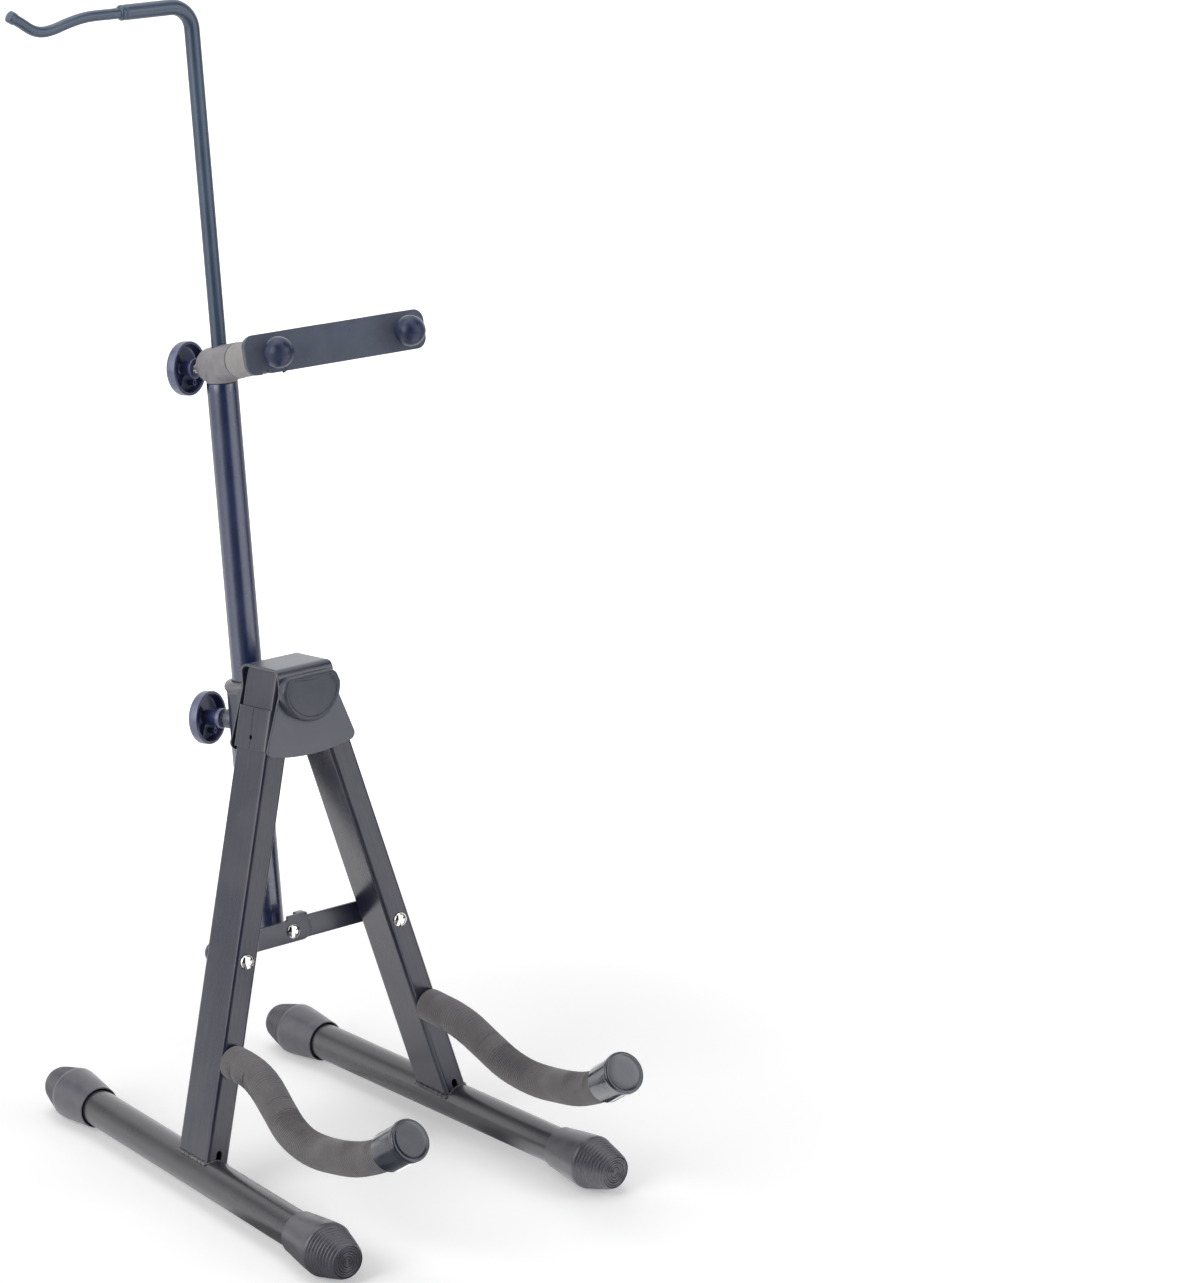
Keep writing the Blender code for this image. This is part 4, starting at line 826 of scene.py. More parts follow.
@dataclass(frozen=True)
class Head(Assembly):
    """The folded bracket with its pad and pivots, and the sleeve behind it."""

    sheet: float = 0.0015
    half_depth: float = 0.0182
    roof: float = 0.2840
    bend: float = 0.0050
    corner: float = 0.0010
    top_half: float = 0.0181
    shoulder: float = 0.2720
    bottom_half: float = 0.0291
    side_foot: float = 0.2405
    bottom: float = 0.2346
    flank_foot: tuple[tuple[float, float], ...] = (
        (-0.0028, -0.0022), (-0.0018, -0.0010), (-0.0004, -0.0001), (0.0014, 0.0))
    shoulder_flare: tuple[float, float] = (-0.0020, 0.0006)
    pivot_x: float = 0.0130
    pivot_radius: float = 0.0030
    pad_half: float = 0.0193
    pad_centre: float = 0.2728
    pad_top: float = 0.2800
    pad_corner: float = 0.0055
    pad_thickness: float = 0.0060
    pad_edge: float = 0.0028
    pad_step: float = 0.0003
    pad_draw: float = 0.0010
    pad_sink: float = 0.003
    pad_crown: float = 0.0005
    sleeve_radius: float = 0.0120
    sleeve_wall: float = 0.0016
    sleeve_low: float = 0.2200
    sleeve_high: float = 0.2625
    collar_radius: float = 0.0132
    collar_height: float = 0.0062
    collar_lip: float = 0.0006
    nut_radius: float = 0.0055
    nut_bore: float = 0.0028
    nut_sink: float = 0.0015
    nut_rise: float = 0.0040
    nut_lip: float = 0.0006
    saddle_half: float = 0.0105
    saddle_sheet: float = 0.0020
    saddle_low: float = 0.2370
    saddle_high: float = 0.2600
    gap: float = 0.0003
    run_gap: float = 0.00008

    def half_width(self, height: Points) -> Points:
        """Return half the bracket's width at a height: straight flanks that taper up to the
        shoulder, then a quarter circle at each upper corner.

        Args:
            height: Heights in the leaning plane.

        Returns:
            Half the width at each.
        """
        foot = np.array(self.flank_foot) + (self.side_foot, self.bottom_half)
        head = np.array((self.shoulder_flare, (0.0, 0.0))) + (self.shoulder, self.top_half)
        levels, halves = np.vstack((foot, head)).T
        rise = np.clip(height - (self.roof - self.corner), 0.0, self.corner)
        return np.interp(height, levels, halves) - self.corner + np.sqrt(self.corner ** 2 - rise ** 2)

    def bracket(self) -> None:
        """Make the folded bracket. One parameter runs across it, from -1 to 1 of its half
        width; the other runs up the front plate, over the roof and down the rear plate. The
        lower edge sags as a parabola.
        """
        columns, rows, steps = 61, 80, 14
        across = np.linspace(-1, 1, columns)
        low = self.bottom + (self.side_foot + self.flank_foot[0][0] - self.bottom) * across ** 2
        rise = low + (self.roof - self.bend - low) * np.linspace(0, 1, rows)[:, None]
        over = arc((-self.half_depth + self.bend, self.roof - self.bend), self.bend, 180, 90, steps)[1:]
        top = np.linspace(over[-1, 0], -over[-1, 0], steps)[1:-1]
        plate = np.full(rows, self.half_depth)
        depth = np.concatenate((-plate, over[:, 0], top, -over[::-1, 0], plate))
        flat = np.full((len(top), columns), self.roof)
        bend = np.broadcast_to(over[:, 1:], (steps, columns))
        height = np.vstack((rise, bend, flat, bend[::-1], rise[::-1]))
        width = across * self.half_width(height)
        local = np.stack((width, np.broadcast_to(depth[:, None], width.shape), height), axis=-1)
        middle = self.places.lean.world((0.0, 0.0, self.shoulder))
        body = surface("bracket_shell", self.places.lean.world(local), wrap_columns=False, inside=middle)
        thicken(body, self.sheet, 0.0005)
        dress(body, FRAME_PAINT, "head", "head_bracket")

    def pad(self) -> None:
        """Make the moulded pad. One parameter runs round its outline, a half circle below and
        a flat top with round corners; the other runs from the rear's middle, up the side,
        round the edge and over a low plateau to the front's middle.
        """
        half, corner = self.pad_half, self.pad_corner
        right = arc((half - corner - self.pad_draw, self.pad_top - corner), corner, 20, 90, 10)
        outline = np.vstack((arc((0.0, self.pad_centre), half, 180, 360, 60), right, right[::-1] * (-1, 1)))
        outline = evenly(outline, 220)
        centre = np.array((0.0, self.pad_centre - self.pad_sink))
        reach = np.linalg.norm(outline - centre, axis=1)
        turn = np.linspace(0, np.pi / 2, 9)
        side = self.pad_thickness - self.pad_edge - self.pad_step
        draw = np.concatenate(((0.0, 0.0, 0.0), self.pad_edge * (1 - np.cos(turn[1:]))))
        lift = np.concatenate(((0.0, side * 0.5, side), side + self.pad_edge * np.sin(turn[1:])))
        rims = 1 - draw[:, None] / reach[None]
        inner = np.linspace(1, 0, 22)[1:, None] ** 0.9
        shares = np.vstack((np.zeros((1, len(outline))), rims, rims[-1] * inner))
        plateau = side + self.pad_edge + self.pad_step * (1 - smooth_step(inner, 0.80, 1.0))
        crown = plateau - self.pad_crown * inner ** 2
        lifts = np.concatenate(((0.0,), lift, crown[:, 0]))
        flat = centre + shares[..., None] * (outline - centre)
        depth = -(self.half_depth + self.gap / 3 + lifts)
        local = np.stack((flat[..., 0], np.broadcast_to(depth[:, None], shares.shape), flat[..., 1]), axis=-1)
        body = surface("bracket_pad", self.places.lean.world(local))
        dress(body, PAD_RUBBER, "head", "head_pad", fill=1.0)

    def pivots(self) -> None:
        """Make the two long rivets that the legs turn on."""
        grip = self.half_depth + SEAT
        profile = rivet_profile(self.pivot_radius, -grip, grip)
        for side in Side:
            place = self.places.lean.moved(side.value * self.pivot_x, 0.0, PIVOT_HEIGHT).turned(-90, "x")
            name = f"{side.word}_leg_pivot"
            dress(turned(f"{side.word}_pivot_rivet", profile, place, 40), NICKEL, "head", name)

    def sleeve(self) -> None:
        """Make the steel sleeve, its saddle and its nut."""
        post, radius = self.places.post, self.sleeve_radius
        tube = pipe_profile(radius, radius - self.sleeve_wall, self.sleeve_low, self.sleeve_high)
        dress(turned("sleeve_tube", tube, post, 72, wrap_rows=True), FRAME_PAINT, "head", "post_sleeve")
        knob = self.places.knob("height_knob_spin")
        low, high = radius - self.nut_sink, radius + self.nut_rise
        boss = pipe_profile(self.nut_radius, self.nut_bore, low, high, self.nut_lip)
        dress(turned("sleeve_boss", boss, knob, 40, wrap_rows=True), FRAME_PAINT, "head", "sleeve_nut")
        front = self.half_depth + self.gap / 3
        half, wall, seat = self.saddle_half, self.saddle_sheet, radius + self.gap
        behind = self.places.lean.local(post.origin)[1] - math.sqrt(seat ** 2 - half ** 2)
        right = ((half, behind), (half, front + wall), (half - wall, front))
        inner = ((half - wall, front + wall), (half - wall, behind))
        flip = np.array((-1, 1))
        outline = np.vstack((right, (right * flip)[::-1], (inner * flip)[::-1], inner))[::-1]
        body = slab("sleeve_channel", outline, self.saddle_low, self.saddle_high, self.places.lean, 0.0002, 2)
        dress(body, FRAME_PAINT, "head", "sleeve_saddle", crease=30)

    def collar(self) -> None:
        """Make the bush in the sleeve: a thin liner and a rim that is a half circle outside."""
        inner, liner = POST_RADIUS + self.run_gap, self.sleeve_radius - self.sleeve_wall - SEAT
        edge, small = self.collar_height / 2, self.collar_lip
        seat, foot = self.sleeve_high + SEAT, self.sleeve_low + 0.001
        rim = arc((self.collar_radius - edge, seat + edge), edge, 90, -50, 16)
        lip = arc((inner + small, seat + self.collar_height - small), small, 180, 90, 4)
        lining = ((self.sleeve_radius + SEAT, seat), (liner, seat), (liner, foot), (inner, foot))
        profile = np.vstack((lip, rim, lining))
        body = turned("sleeve_collar", profile, self.places.post, 72, wrap_rows=True)
        dress(body, BUSH_PLASTIC, "head", "sleeve_bush")

    def build(self) -> None:
        """Make every piece of the head."""
        self.bracket()
        self.pad()
        self.pivots()
        self.sleeve()
        self.collar()


@dataclass(frozen=True)
class Leg(LegAssembly):
    """One box-section leg with its band, foot tube, caps and weld."""

    width: float = 0.0143
    depth: float = LEG_DEPTH
    corner: float = 0.0024
    wall: float = 0.0013
    top_reach: float = 0.0139
    top_corner: float = 0.0042
    notch_half: float = 0.0018
    notch_height: float = 0.0055
    notch_margin: float = 0.0024
    notch_step: float = 0.00002
    band_sheet: float = 0.0015
    band_top: float = -0.0068
    band_length: float = 0.0227
    band_slit: float = 0.0003
    band_drop: float = 0.0013
    band_drop_share: float = 0.72
    seam_wander: float = 0.00045
    seam_drift: float = 0.0008
    foot_length: float = 0.300
    foot_radius: float = 0.0104
    foot_wall: float = 0.0014
    cap_length: float = 0.0455
    cap_ring: float = 0.0149
    cap_ring_from_end: float = 0.0190
    cap_end: float = 0.0095
    cap_lip: float = 0.0120
    cap_floor: float = 0.009
    cap_edge: float = 0.0008
    ridge_start: float = 0.0012
    tube_short: float = 0.0093
    ridge_pitch: float = 0.0021
    ridge_depth: float = 0.0009
    groove_pitch: float = 0.00145
    groove_depth: float = 0.0007
    weld_radius: float = 0.0012
    ripples: tuple[Spot, ...] = ((0.22, 0.0021, 0.0), (0.16, 0.0047, 1.0), (0.12, 0.0013, 2.0))

    @property
    def place(self) -> Place:
        """Return the leg's frame."""
        return self.places.leg(self.side)

    @property
    def foot(self) -> Place:
        """Return the foot tube's frame."""
        return self.places.foot(self.side, self.cap_ring)

    def outline(self, inset: float) -> Points:
        """Return the leg's section drawn in by inset, with close columns for the notch."""
        half_x, half_y = self.width / 2 - inset, self.depth / 2 - inset
        radius = self.corner - inset / 2
        x, y = half_x - radius, half_y - radius
        margin, half, step = self.notch_margin, self.notch_half, self.notch_step
        marks = np.array((-0.9, -0.6, -0.4, -0.2, 0.0, 0.2, 0.4, 0.6, 0.9)) * half
        left = np.concatenate((np.linspace(-x, -margin, 8)[1:], (-half - step, -half + step)))
        front = np.concatenate((left, marks, -left[::-1]))
        rear = np.linspace(x, -x, 20)[1:-1]
        flank = np.linspace(-y, y, 30)[1:-1]
        side = np.full_like(flank, half_x)
        return np.vstack((arc((-x, -y), radius, 180, 270, 8),
                          np.column_stack((front, np.full_like(front, -half_y))),
                          arc((x, -y), radius, 270, 360, 8), np.column_stack((side, flank)),
                          arc((x, y), radius, 0, 90, 8), np.column_stack((rear, np.full_like(rear, half_y))),
                          arc((-x, y), radius, 90, 180, 8), np.column_stack((-side, flank[::-1]))))

    def saddle(self, section: Points) -> Points:
        """Return where lines down the leg meet the foot tube: the upper root of the
        quadratic for a point at the tube's radius from its axis.

        Args:
            section: Points of the leg's section, as x and y in its frame.

        Returns:
            Z in the leg's frame for each.
        """
        leg, foot = self.place, self.foot
        start = leg.world(np.column_stack((section, np.zeros(len(section))))) - foot.origin
        down = leg.axes[2]
        ahead = foot.axes[2]
        offset = start - (start @ ahead)[:, None] * ahead
        slope = down - (down @ ahead) * ahead
        square, cross = slope @ slope, offset @ slope
        rest = np.sum(offset ** 2, axis=1) - self.foot_radius ** 2
        return (-cross + np.sqrt(np.maximum(cross ** 2 - square * rest, 0.0))) / square

    def tube(self) -> None:
        """Make the leg. One parameter runs round its section; the other runs up the outer
        wall from the saddle on the foot tube and down the inner one. A round-topped notch
        in the front wall lifts the lower edge, and a quarter circle rounds the upper one
        at the front and the rear.
        """
        outer, inner = self.outline(0.0), self.outline(self.wall)
        in_notch = (np.abs(outer[:, 0]) < self.notch_half) & (outer[:, 1] < -self.depth / 2 + 1e-6)
        round_top = np.sqrt(np.maximum(self.notch_half ** 2 - outer[:, 0] ** 2, 0.0))
        lift = np.where(in_notch, self.notch_height - self.notch_half + round_top, 0.0)
        rows = []
        for section, order in ((outer, slice(None)), (inner, slice(None, None, -1))):
            low = self.saddle(section) + lift
            share = np.concatenate((np.linspace(0, 0.08, 10), np.linspace(0.1, 1, 24)))[order, None]
            past = np.clip(np.abs(section[:, 1]) - (self.depth / 2 - self.top_corner), 0.0, self.top_corner)
            top = self.top_reach - self.top_corner + np.sqrt(self.top_corner ** 2 - past ** 2)
            height = low + (top - low) * share
            flat = np.broadcast_to(section, (len(share), *section.shape))
            rows.append(np.concatenate((flat, height[..., None]), axis=-1))
        body = surface(self.named("leg_box"), self.place.world(np.vstack(rows)), wrap_rows=True)
        dress(body, LEG_PAINT, self.body, self.named("leg_tube"), place=self.place, crease=35)

    def weld(self) -> None:
        """Make the weld bead. One parameter follows the leg's lower edge; the other runs
        round the bead, whose radius swells and sinks in overlapping ripples.
        """
        section = evenly(self.outline(0.0), 260)
        length = travelled(section)
        local = np.column_stack((section, self.saddle(section)))
        centre = self.place.world(local)
        ahead = unit(np.roll(local, -1, axis=0) - np.roll(local, 1, axis=0))
        outward = np.column_stack((ahead[:, 1], -ahead[:, 0], np.zeros(len(ahead)))) @ self.place.axes
        up = np.broadcast_to(self.place.axes[2], outward.shape)
        on_front = smooth_step(-section[:, 1], self.depth / 2 - 0.0020, self.depth / 2)
        swell = np.ones(len(section))
        for size, pitch, phase in self.ripples:
            swell = swell + size * np.sin(length * 2 * np.pi / pitch + phase)
        radius = self.weld_radius * swell * (1 - 0.65 * on_front)
        angle = around(14)[None, :, None]
        ring = np.cos(angle) * outward[:, None] + 0.9 * np.sin(angle) * up[:, None]
        points = centre[:, None] + radius[:, None, None] * ring
        body = surface(self.named("leg_weld"), points, wrap_rows=True)
        dress(body, WELD_PAINT, self.body, crease=80)

    def band(self) -> None:
        """Make the strip round the leg's top. One parameter runs round it from one edge of
        the butt seam to the other, and the other down it; the seam wanders a little and
        opens to a small round hole near its foot.
        """
        reach = self.band_sheet + SEAT
        ring = rounded_rectangle(self.width / 2 + reach, self.depth / 2 + reach, self.corner + reach, 8)
        start = np.argmin(np.abs(ring[:, 1]) + 10 * (ring[:, 0] < 0))
        ring = np.vstack((((self.width / 2 + reach, 0.0),), np.roll(ring, -start, axis=0)))
        ring = ring[np.concatenate(((True,), np.linalg.norm(np.diff(ring, axis=0), axis=1) > 1e-7))]
        girth = travelled(np.vstack((ring, ring[:1])))[-1]
        down = np.linspace(0, 1, 90)
        height = self.band_top - down * self.band_length
        wander = self.seam_wander * np.sin(down * 7.0) - self.seam_drift * smooth_step(down, 0.55, 1.0)
        away = (down - self.band_drop_share) * self.band_length
        hole = np.sqrt(np.maximum(self.band_drop ** 2 - away ** 2, 0.0))
        gap = np.maximum(self.band_slit / 2, hole)
        share = np.linspace(0, 1, 240)
        first, last = wander + gap, girth + wander - gap
        places = first[:, None] + (last - first)[:, None] * share
        flat = along_outline(ring, places)
        local = np.stack((self.side.value * flat[..., 0], flat[..., 1],
                          np.broadcast_to(height[:, None], places.shape)), axis=-1)
        middle = self.place.world((0.0, 0.0, float(height.mean())))
        name = self.named("leg_strip")
        body = surface(name, self.place.world(local), wrap_columns=False, inside=middle)
        thicken(body, self.band_sheet, 0.0006)
        dress(body, LEG_PAINT, self.body, self.named("leg_band"), place=self.place)

    def foot_tube(self) -> None:
        """Make the round tube that the leg stands on."""
        half = self.foot_length / 2 - self.tube_short
        profile = pipe_profile(self.foot_radius, self.foot_radius - self.foot_wall, -half, half, rows=38)
        body = turned(self.named("foot_bar"), profile, self.foot, 72, wrap_rows=True)
        dress(body, FOOT_PAINT, self.body, self.named("foot_tube"))

    def cap_profile(self) -> Points:
        """Return a cap's profile of radius and z, z being the distance along the foot.

        The end face has ring grooves and a dimple, the cone behind it has ridges up to the
        widest ring, and a smooth cone runs from there to the lip. A ridge or groove is one
        less a power of the absolute sine, which gives round ridges with sharp valleys.

        Returns:
            The profile, from the end's middle round to the floor of the bore.
        """
        tip, small, start = self.foot_length / 2, self.cap_edge, self.ridge_start
        face = np.linspace(0, self.cap_end - small, 70)
        valley = 1 - np.abs(np.sin(np.pi * face / self.groove_pitch)) ** 1.2
        dimple = 0.0005 * np.exp(-(face / 0.0007) ** 2)
        end = np.column_stack((face, tip - self.groove_depth * valley * (face > 0.0008) - dimple))
        edge = arc((self.cap_end - small, tip - small), small, 80, 20, 4)
        back = np.linspace(start, self.cap_ring_from_end - start, 130)
        cone = self.cap_end + (self.cap_ring - self.cap_end) * (back / self.cap_ring_from_end) ** 0.86
        ridges = 1 - np.abs(np.sin(np.pi * (back - start) / self.ridge_pitch)) ** 1.2
        side = np.column_stack((cone - self.ridge_depth * ridges, tip - back))
        ring, mouth, lip = tip - self.cap_ring_from_end, tip - self.cap_length, self.cap_lip
        smooth = np.linspace(0, 1, 24)
        taper = np.column_stack((self.cap_ring + (lip - self.cap_ring) * smooth ** 1.15,
                                 ring - start + (mouth + 0.0010 - ring + start) * smooth))
        rim = arc((lip - 0.0005, mouth + 0.0005), 0.0005, 0, -180, 6)
        bore, floor = self.foot_radius + SLIP, tip - self.cap_floor
        return np.vstack((end, edge, side, ((self.cap_ring, ring + 0.0006),), taper, rim,
                          ((bore, mouth + 0.004), (bore, floor), (0.0, floor))))

    def cap(self, end: FootEnd) -> None:
        """Make one rubber cap, flat where it stands on the floor.

        Args:
            end: Which end of the foot it is on.
        """
        place = self.foot if end is FootEnd.FRONT else self.foot.turned(180, "y")
        node = self.named(f"foot_cap_{end.word}")
        body = turned(self.named(f"{end.word}_cap"), self.cap_profile(), place, 96)
        reshape(body, lambda points: np.maximum(points, (-np.inf, -np.inf, 0.0)))
        dress(body, CAP_RUBBER, self.body, node, crease=60)

    def build(self) -> None:
        """Make every piece of the leg."""
        self.tube()
        self.weld()
        self.band()
        self.foot_tube()
        for end in FootEnd:
            self.cap(end)


@dataclass(frozen=True)
class SupportArm(LegAssembly):
    """A bent arm in its foam sleeve, with a glossy end plug."""

    start_height: float = 0.0757
    start: float = 0.0003
    foam_radius: float = 0.0093
    rod_radius: float = 0.0040
    plug_radius: float = 0.0110
    plug_rim: float = 0.0118
    plug_length: float = 0.0220
    rim_length: float = 0.0035
    wrinkle: float = 0.0015
    fold_depth: float = 0.00075
    crease_at: float = 0.0245
    crease_depth: float = 0.0015
    crease_width: float = 0.0005
    route: tuple[Spot, ...] = (
        (0.0000, -0.0118, 0.0000), (0.0007, -0.0237, -0.0010), (0.0022, -0.0355, -0.0042),
        (0.0045, -0.0493, -0.0108), (0.0066, -0.0621, -0.0168), (0.0080, -0.0749, -0.0196),
        (0.0087, -0.0887, -0.0198), (0.0088, -0.1045, -0.0176), (0.0080, -0.1242, -0.0130),
        (0.0068, -0.1410, -0.0060), (0.0056, -0.1538, 0.0020), (0.0045, -0.1676, 0.0115))

    def path(self) -> Points:
        """Return the arm's centre line: a smooth curve from the leg's front to the plug."""
        leg = self.places.leg(self.side)
        drop = (PIVOT_HEIGHT - self.start_height) / float(leg.axes[2] @ self.places.lean.axes[2])
        start = leg.world((0.0, -LEG_DEPTH / 2, -drop))
        steps = np.vstack((((0.0, 0.0, 0.0),), self.route)) * (self.side.value, 1.0, 1.0)
        return smooth_path(start + steps, 900)

    def foam(self) -> None:
        """Make the foam sleeve. One parameter runs along the path and the other round it.

        The radius is the sleeve's, plus a slow swell, less fine wrinkles where the arm
        bends: one less a power of a sine along the path, strongest on the inner side. A
        bell curve along the path pinches the inner side of the first bend.
        """
        path = self.path()
        rows, columns = 1200, 72
        end = travelled(path)[-1] - self.plug_length
        line = stretch(path, self.start, end, rows)
        place = np.linspace(self.start, end, rows)[:, None]
        angle = around(columns)[None]
        ahead = unit(np.gradient(line, axis=0))
        curl = np.gradient(ahead, axis=0) / np.gradient(place[:, 0])[:, None]
        reference = np.array((1.0, 0.0, 0.0))
        side = unit(reference - (ahead @ reference)[:, None] * ahead)
        square = np.cross(ahead, side)
        inner = (np.cos(angle) * np.sum(curl * side, axis=1)[:, None]
                 + np.sin(angle) * np.sum(curl * square, axis=1)[:, None])
        bent = smooth_step(np.linalg.norm(curl, axis=1), 3.0, 12.0)[:, None]
        pinch = bent * (0.25 + 0.75 * smooth_step(inner, 0.0, 14.0))
        wobble = 0.35 * np.sin(3 * angle + 40 * place) + 0.25 * np.sin(5 * angle - 90 * place)
        phase = 2 * np.pi * place / self.wrinkle + 2.2 * wobble
        folds = 1 - np.abs(np.sin(phase / 2)) ** 0.8
        faint = (0.00004 * np.sin(2 * np.pi * place / 0.0021 + 3 * wobble + 1.0)
                 * smooth_step(np.abs(inner), 3.0, 12.0))
        swell = 0.00010 * np.sin(70 * place + 1.3 * np.cos(angle)) + 0.00006 * np.sin(190 * place + 2 * angle)
        away = place - (self.crease_at + 0.0006 * np.sin(angle * 2))
        crease = self.crease_depth * np.exp(-(away / self.crease_width) ** 2) * smooth_step(inner, 0.0, 6.0)
        radius = self.foam_radius + swell - self.fold_depth * pinch * folds - faint - crease
        rim = np.minimum(place - self.start, end - place)
        radius = radius - 0.0009 * (1 - smooth_step(rim, -0.0001, 0.0012))
        grid = swept_points(line, radius, reference)
        bore = swept_points(line, np.full(columns, self.rod_radius), reference)
        grid = np.concatenate((bore[:1], grid, bore[-1:]))
        body = surface(self.named("arm_sleeve"), grid, fill=True)
        dress(body, ARM_FOAM, self.body, self.named("arm_foam"), crease=70, fill=1.0)

    def plug(self) -> None:
        """Make the end plug: a barrel, a groove and a wider rim with a softly dished face."""
        path = self.path()
        ahead = unit(path[-1] - path[-2])
        across = unit(np.cross((0.0, 0.0, 1.0), ahead))
        place = Place(path[-1], np.array((across, np.cross(ahead, across), ahead)))
        rim, radius, barrel = self.rim_length, self.plug_rim, self.plug_radius
        face = np.linspace(0, radius - 0.0016, 24)
        dished = np.column_stack((face, -0.0004 * (1 - (face / face[-1]) ** 8)))
        edge = arc((radius - 0.0014, -0.0014), 0.0014, 80, 0, 8)
        back = arc((radius - 0.0006, 0.0006 - rim), 0.0006, 0, -90, 4)
        groove = arc((barrel, -rim - 0.0005), 0.0004, 90, 270, 6)
        tail = arc((barrel - 0.0008, 0.0008 - self.plug_length), 0.0008, 0, -90, 5)
        profile = np.vstack((dished, edge, back, groove, tail, ((0.0, -self.plug_length),)))
        body = turned(self.named("arm_plug"), profile, place, 80)
        dress(body, PLUG_PLASTIC, self.body, self.named("arm_cap"), crease=50)

    def build(self, frame: dict) -> None:
        """Make the sleeve and the plug, and coat the rod inside."""
        self.foam()
        self.plug()
        coat(frame, FRAME_PAINT, self.named("arm_rod"))


@dataclass(frozen=True)
class Brace(Assembly):
    """The two links between the legs, with the stop tab and the rivets."""

    height: float = 0.1285
    half_width: float = 0.0063
    thickness: float = 0.0020
    layer_gap: float = 0.0004
    leg_half_depth: float = LEG_DEPTH / 2
    end_reach: float = 0.0125
    tab_start: float = -0.0032
    tab_end: float = 0.0102
    tab_rise: float = 0.0026
    tab_sheet: float = 0.0016
    tab_overhang: float = 0.0020
    lip_start: float = 0.0044
    rivet_radius: float = 0.0026
    washer_rim: float = 0.001

    def front(self, side: Side) -> float:
        """Return how far behind the leg plane a link's front face lies."""
        layer = self.thickness + self.layer_gap
        return self.leg_half_depth + self.layer_gap + (layer if side is Side.RIGHT else 0.0)

    def reach(self, side: Side) -> float:
        """Return the distance from the middle to a leg's rivet."""
        return abs(float(self.places.lean.local(self.places.spots[f"{side.word}_brace_hinge"])[0]))

    def link(self, side: Side) -> None:
        """Make a link: a strip with round ends, the left one with a stop tab on its upper
        edge whose lip bends to the rear.

        Args:
            side: The side of the stand.
        """
        half = self.half_width
        leg_end = arc((-self.reach(side), 0.0), half, 90, 270, 20)
        place = self.places.lean.moved(z=self.height).turned(90, "x")
        low, high = -self.front(side) - self.thickness, -self.front(side)
        if side is Side.RIGHT:
            outline = np.vstack((arc((0.0, 0.0), half, -90, 90, 20), leg_end))
            outline = (outline * (-1, 1))[::-1]
        else:
            end = self.end_reach - half
            meets = math.degrees(math.acos((self.tab_end - end) / half))
            rise, soft = half + self.tab_rise, 0.0007
            tab = np.vstack((arc((self.tab_end - soft, rise - soft), soft, 0, 90, 4),
                             arc((self.tab_start + soft, rise - soft), soft, 90, 180, 4),
                             ((self.tab_start, half),)))
            outline = np.vstack((arc((end, 0.0), half, -90, meets, 16), tab, leg_end))
        body = slab(f"{side.word}_link_strip", outline, low, high, place, 0.0004)
        dress(body, FRAME_PAINT, f"{side.word}_link", f"{side.word}_brace_link", crease=50)

    def lip(self) -> None:
        """Make the stop tab's bent lip, which reaches over the right link."""
        low = self.front(Side.LEFT)
        high = self.front(Side.RIGHT) + self.thickness + self.tab_overhang
        half = (self.tab_end - self.lip_start) / 2
        middle = (self.tab_end + self.lip_start) / 2
        top = self.half_width + self.tab_rise
        outline = rounded_rectangle(half, (high - low) / 2, 0.0008, 4)
        place = self.places.lean.moved(middle, (low + high) / 2, self.height + top)
        body = slab("stop_lip", outline, -self.tab_sheet, 0.0, place, 0.0005)
        dress(body, FRAME_PAINT, "left_link", "left_brace_link", crease=50)

    def rivets(self) -> None:
        """Make the two leg rivets, the middle rivet's halves and the right spacer."""
        level = self.places.lean.moved(z=self.height)
        near, far = self.front(Side.LEFT), self.front(Side.RIGHT)
        for side in Side:
            rear = self.front(side) + self.thickness + SEAT
            profile = rivet_profile(self.rivet_radius, -self.leg_half_depth - SEAT, rear)
            place = level.moved(x=side.value * self.reach(side)).turned(-90, "x")
            body = turned(f"{side.word}_link_rivet", profile, place, 40)
            dress(body, NICKEL, f"{side.word}_leg", f"{side.word}_leg_rivet")
        waist = (near + far + self.thickness) / 2
        whole = rivet_profile(self.rivet_radius, near - SEAT, far + self.thickness + SEAT)
        half, shank = len(whole) // 2, self.rivet_radius
        rear = np.vstack((whole[:half], ((shank, waist), (0.0, waist))))
        front = np.vstack((((0.0, waist - SEAT), (shank, waist - SEAT)), whole[half:]))
        for profile, side, word in ((rear, Side.RIGHT, "rear"), (front, Side.LEFT, "front")):
            body = turned(f"middle_rivet_{word}", profile, level.turned(-90, "x"), 40)
            dress(body, NICKEL, f"{side.word}_link", f"brace_rivet_{word}")
        low, high = self.leg_half_depth + SEAT, far - SEAT
        ring = pipe_profile(RIVET_HEAD + self.washer_rim, shank + SLIP, low, high)
        place = level.moved(x=self.reach(Side.RIGHT)).turned(-90, "x")
        dress(turned("link_washer", ring, place, 40, wrap_rows=True), NICKEL, "right_leg", "brace_spacer")

    def build(self) -> None:
        """Make every piece of the brace."""
        for side in Side:
            self.link(side)
        self.lip()
        self.rivets()


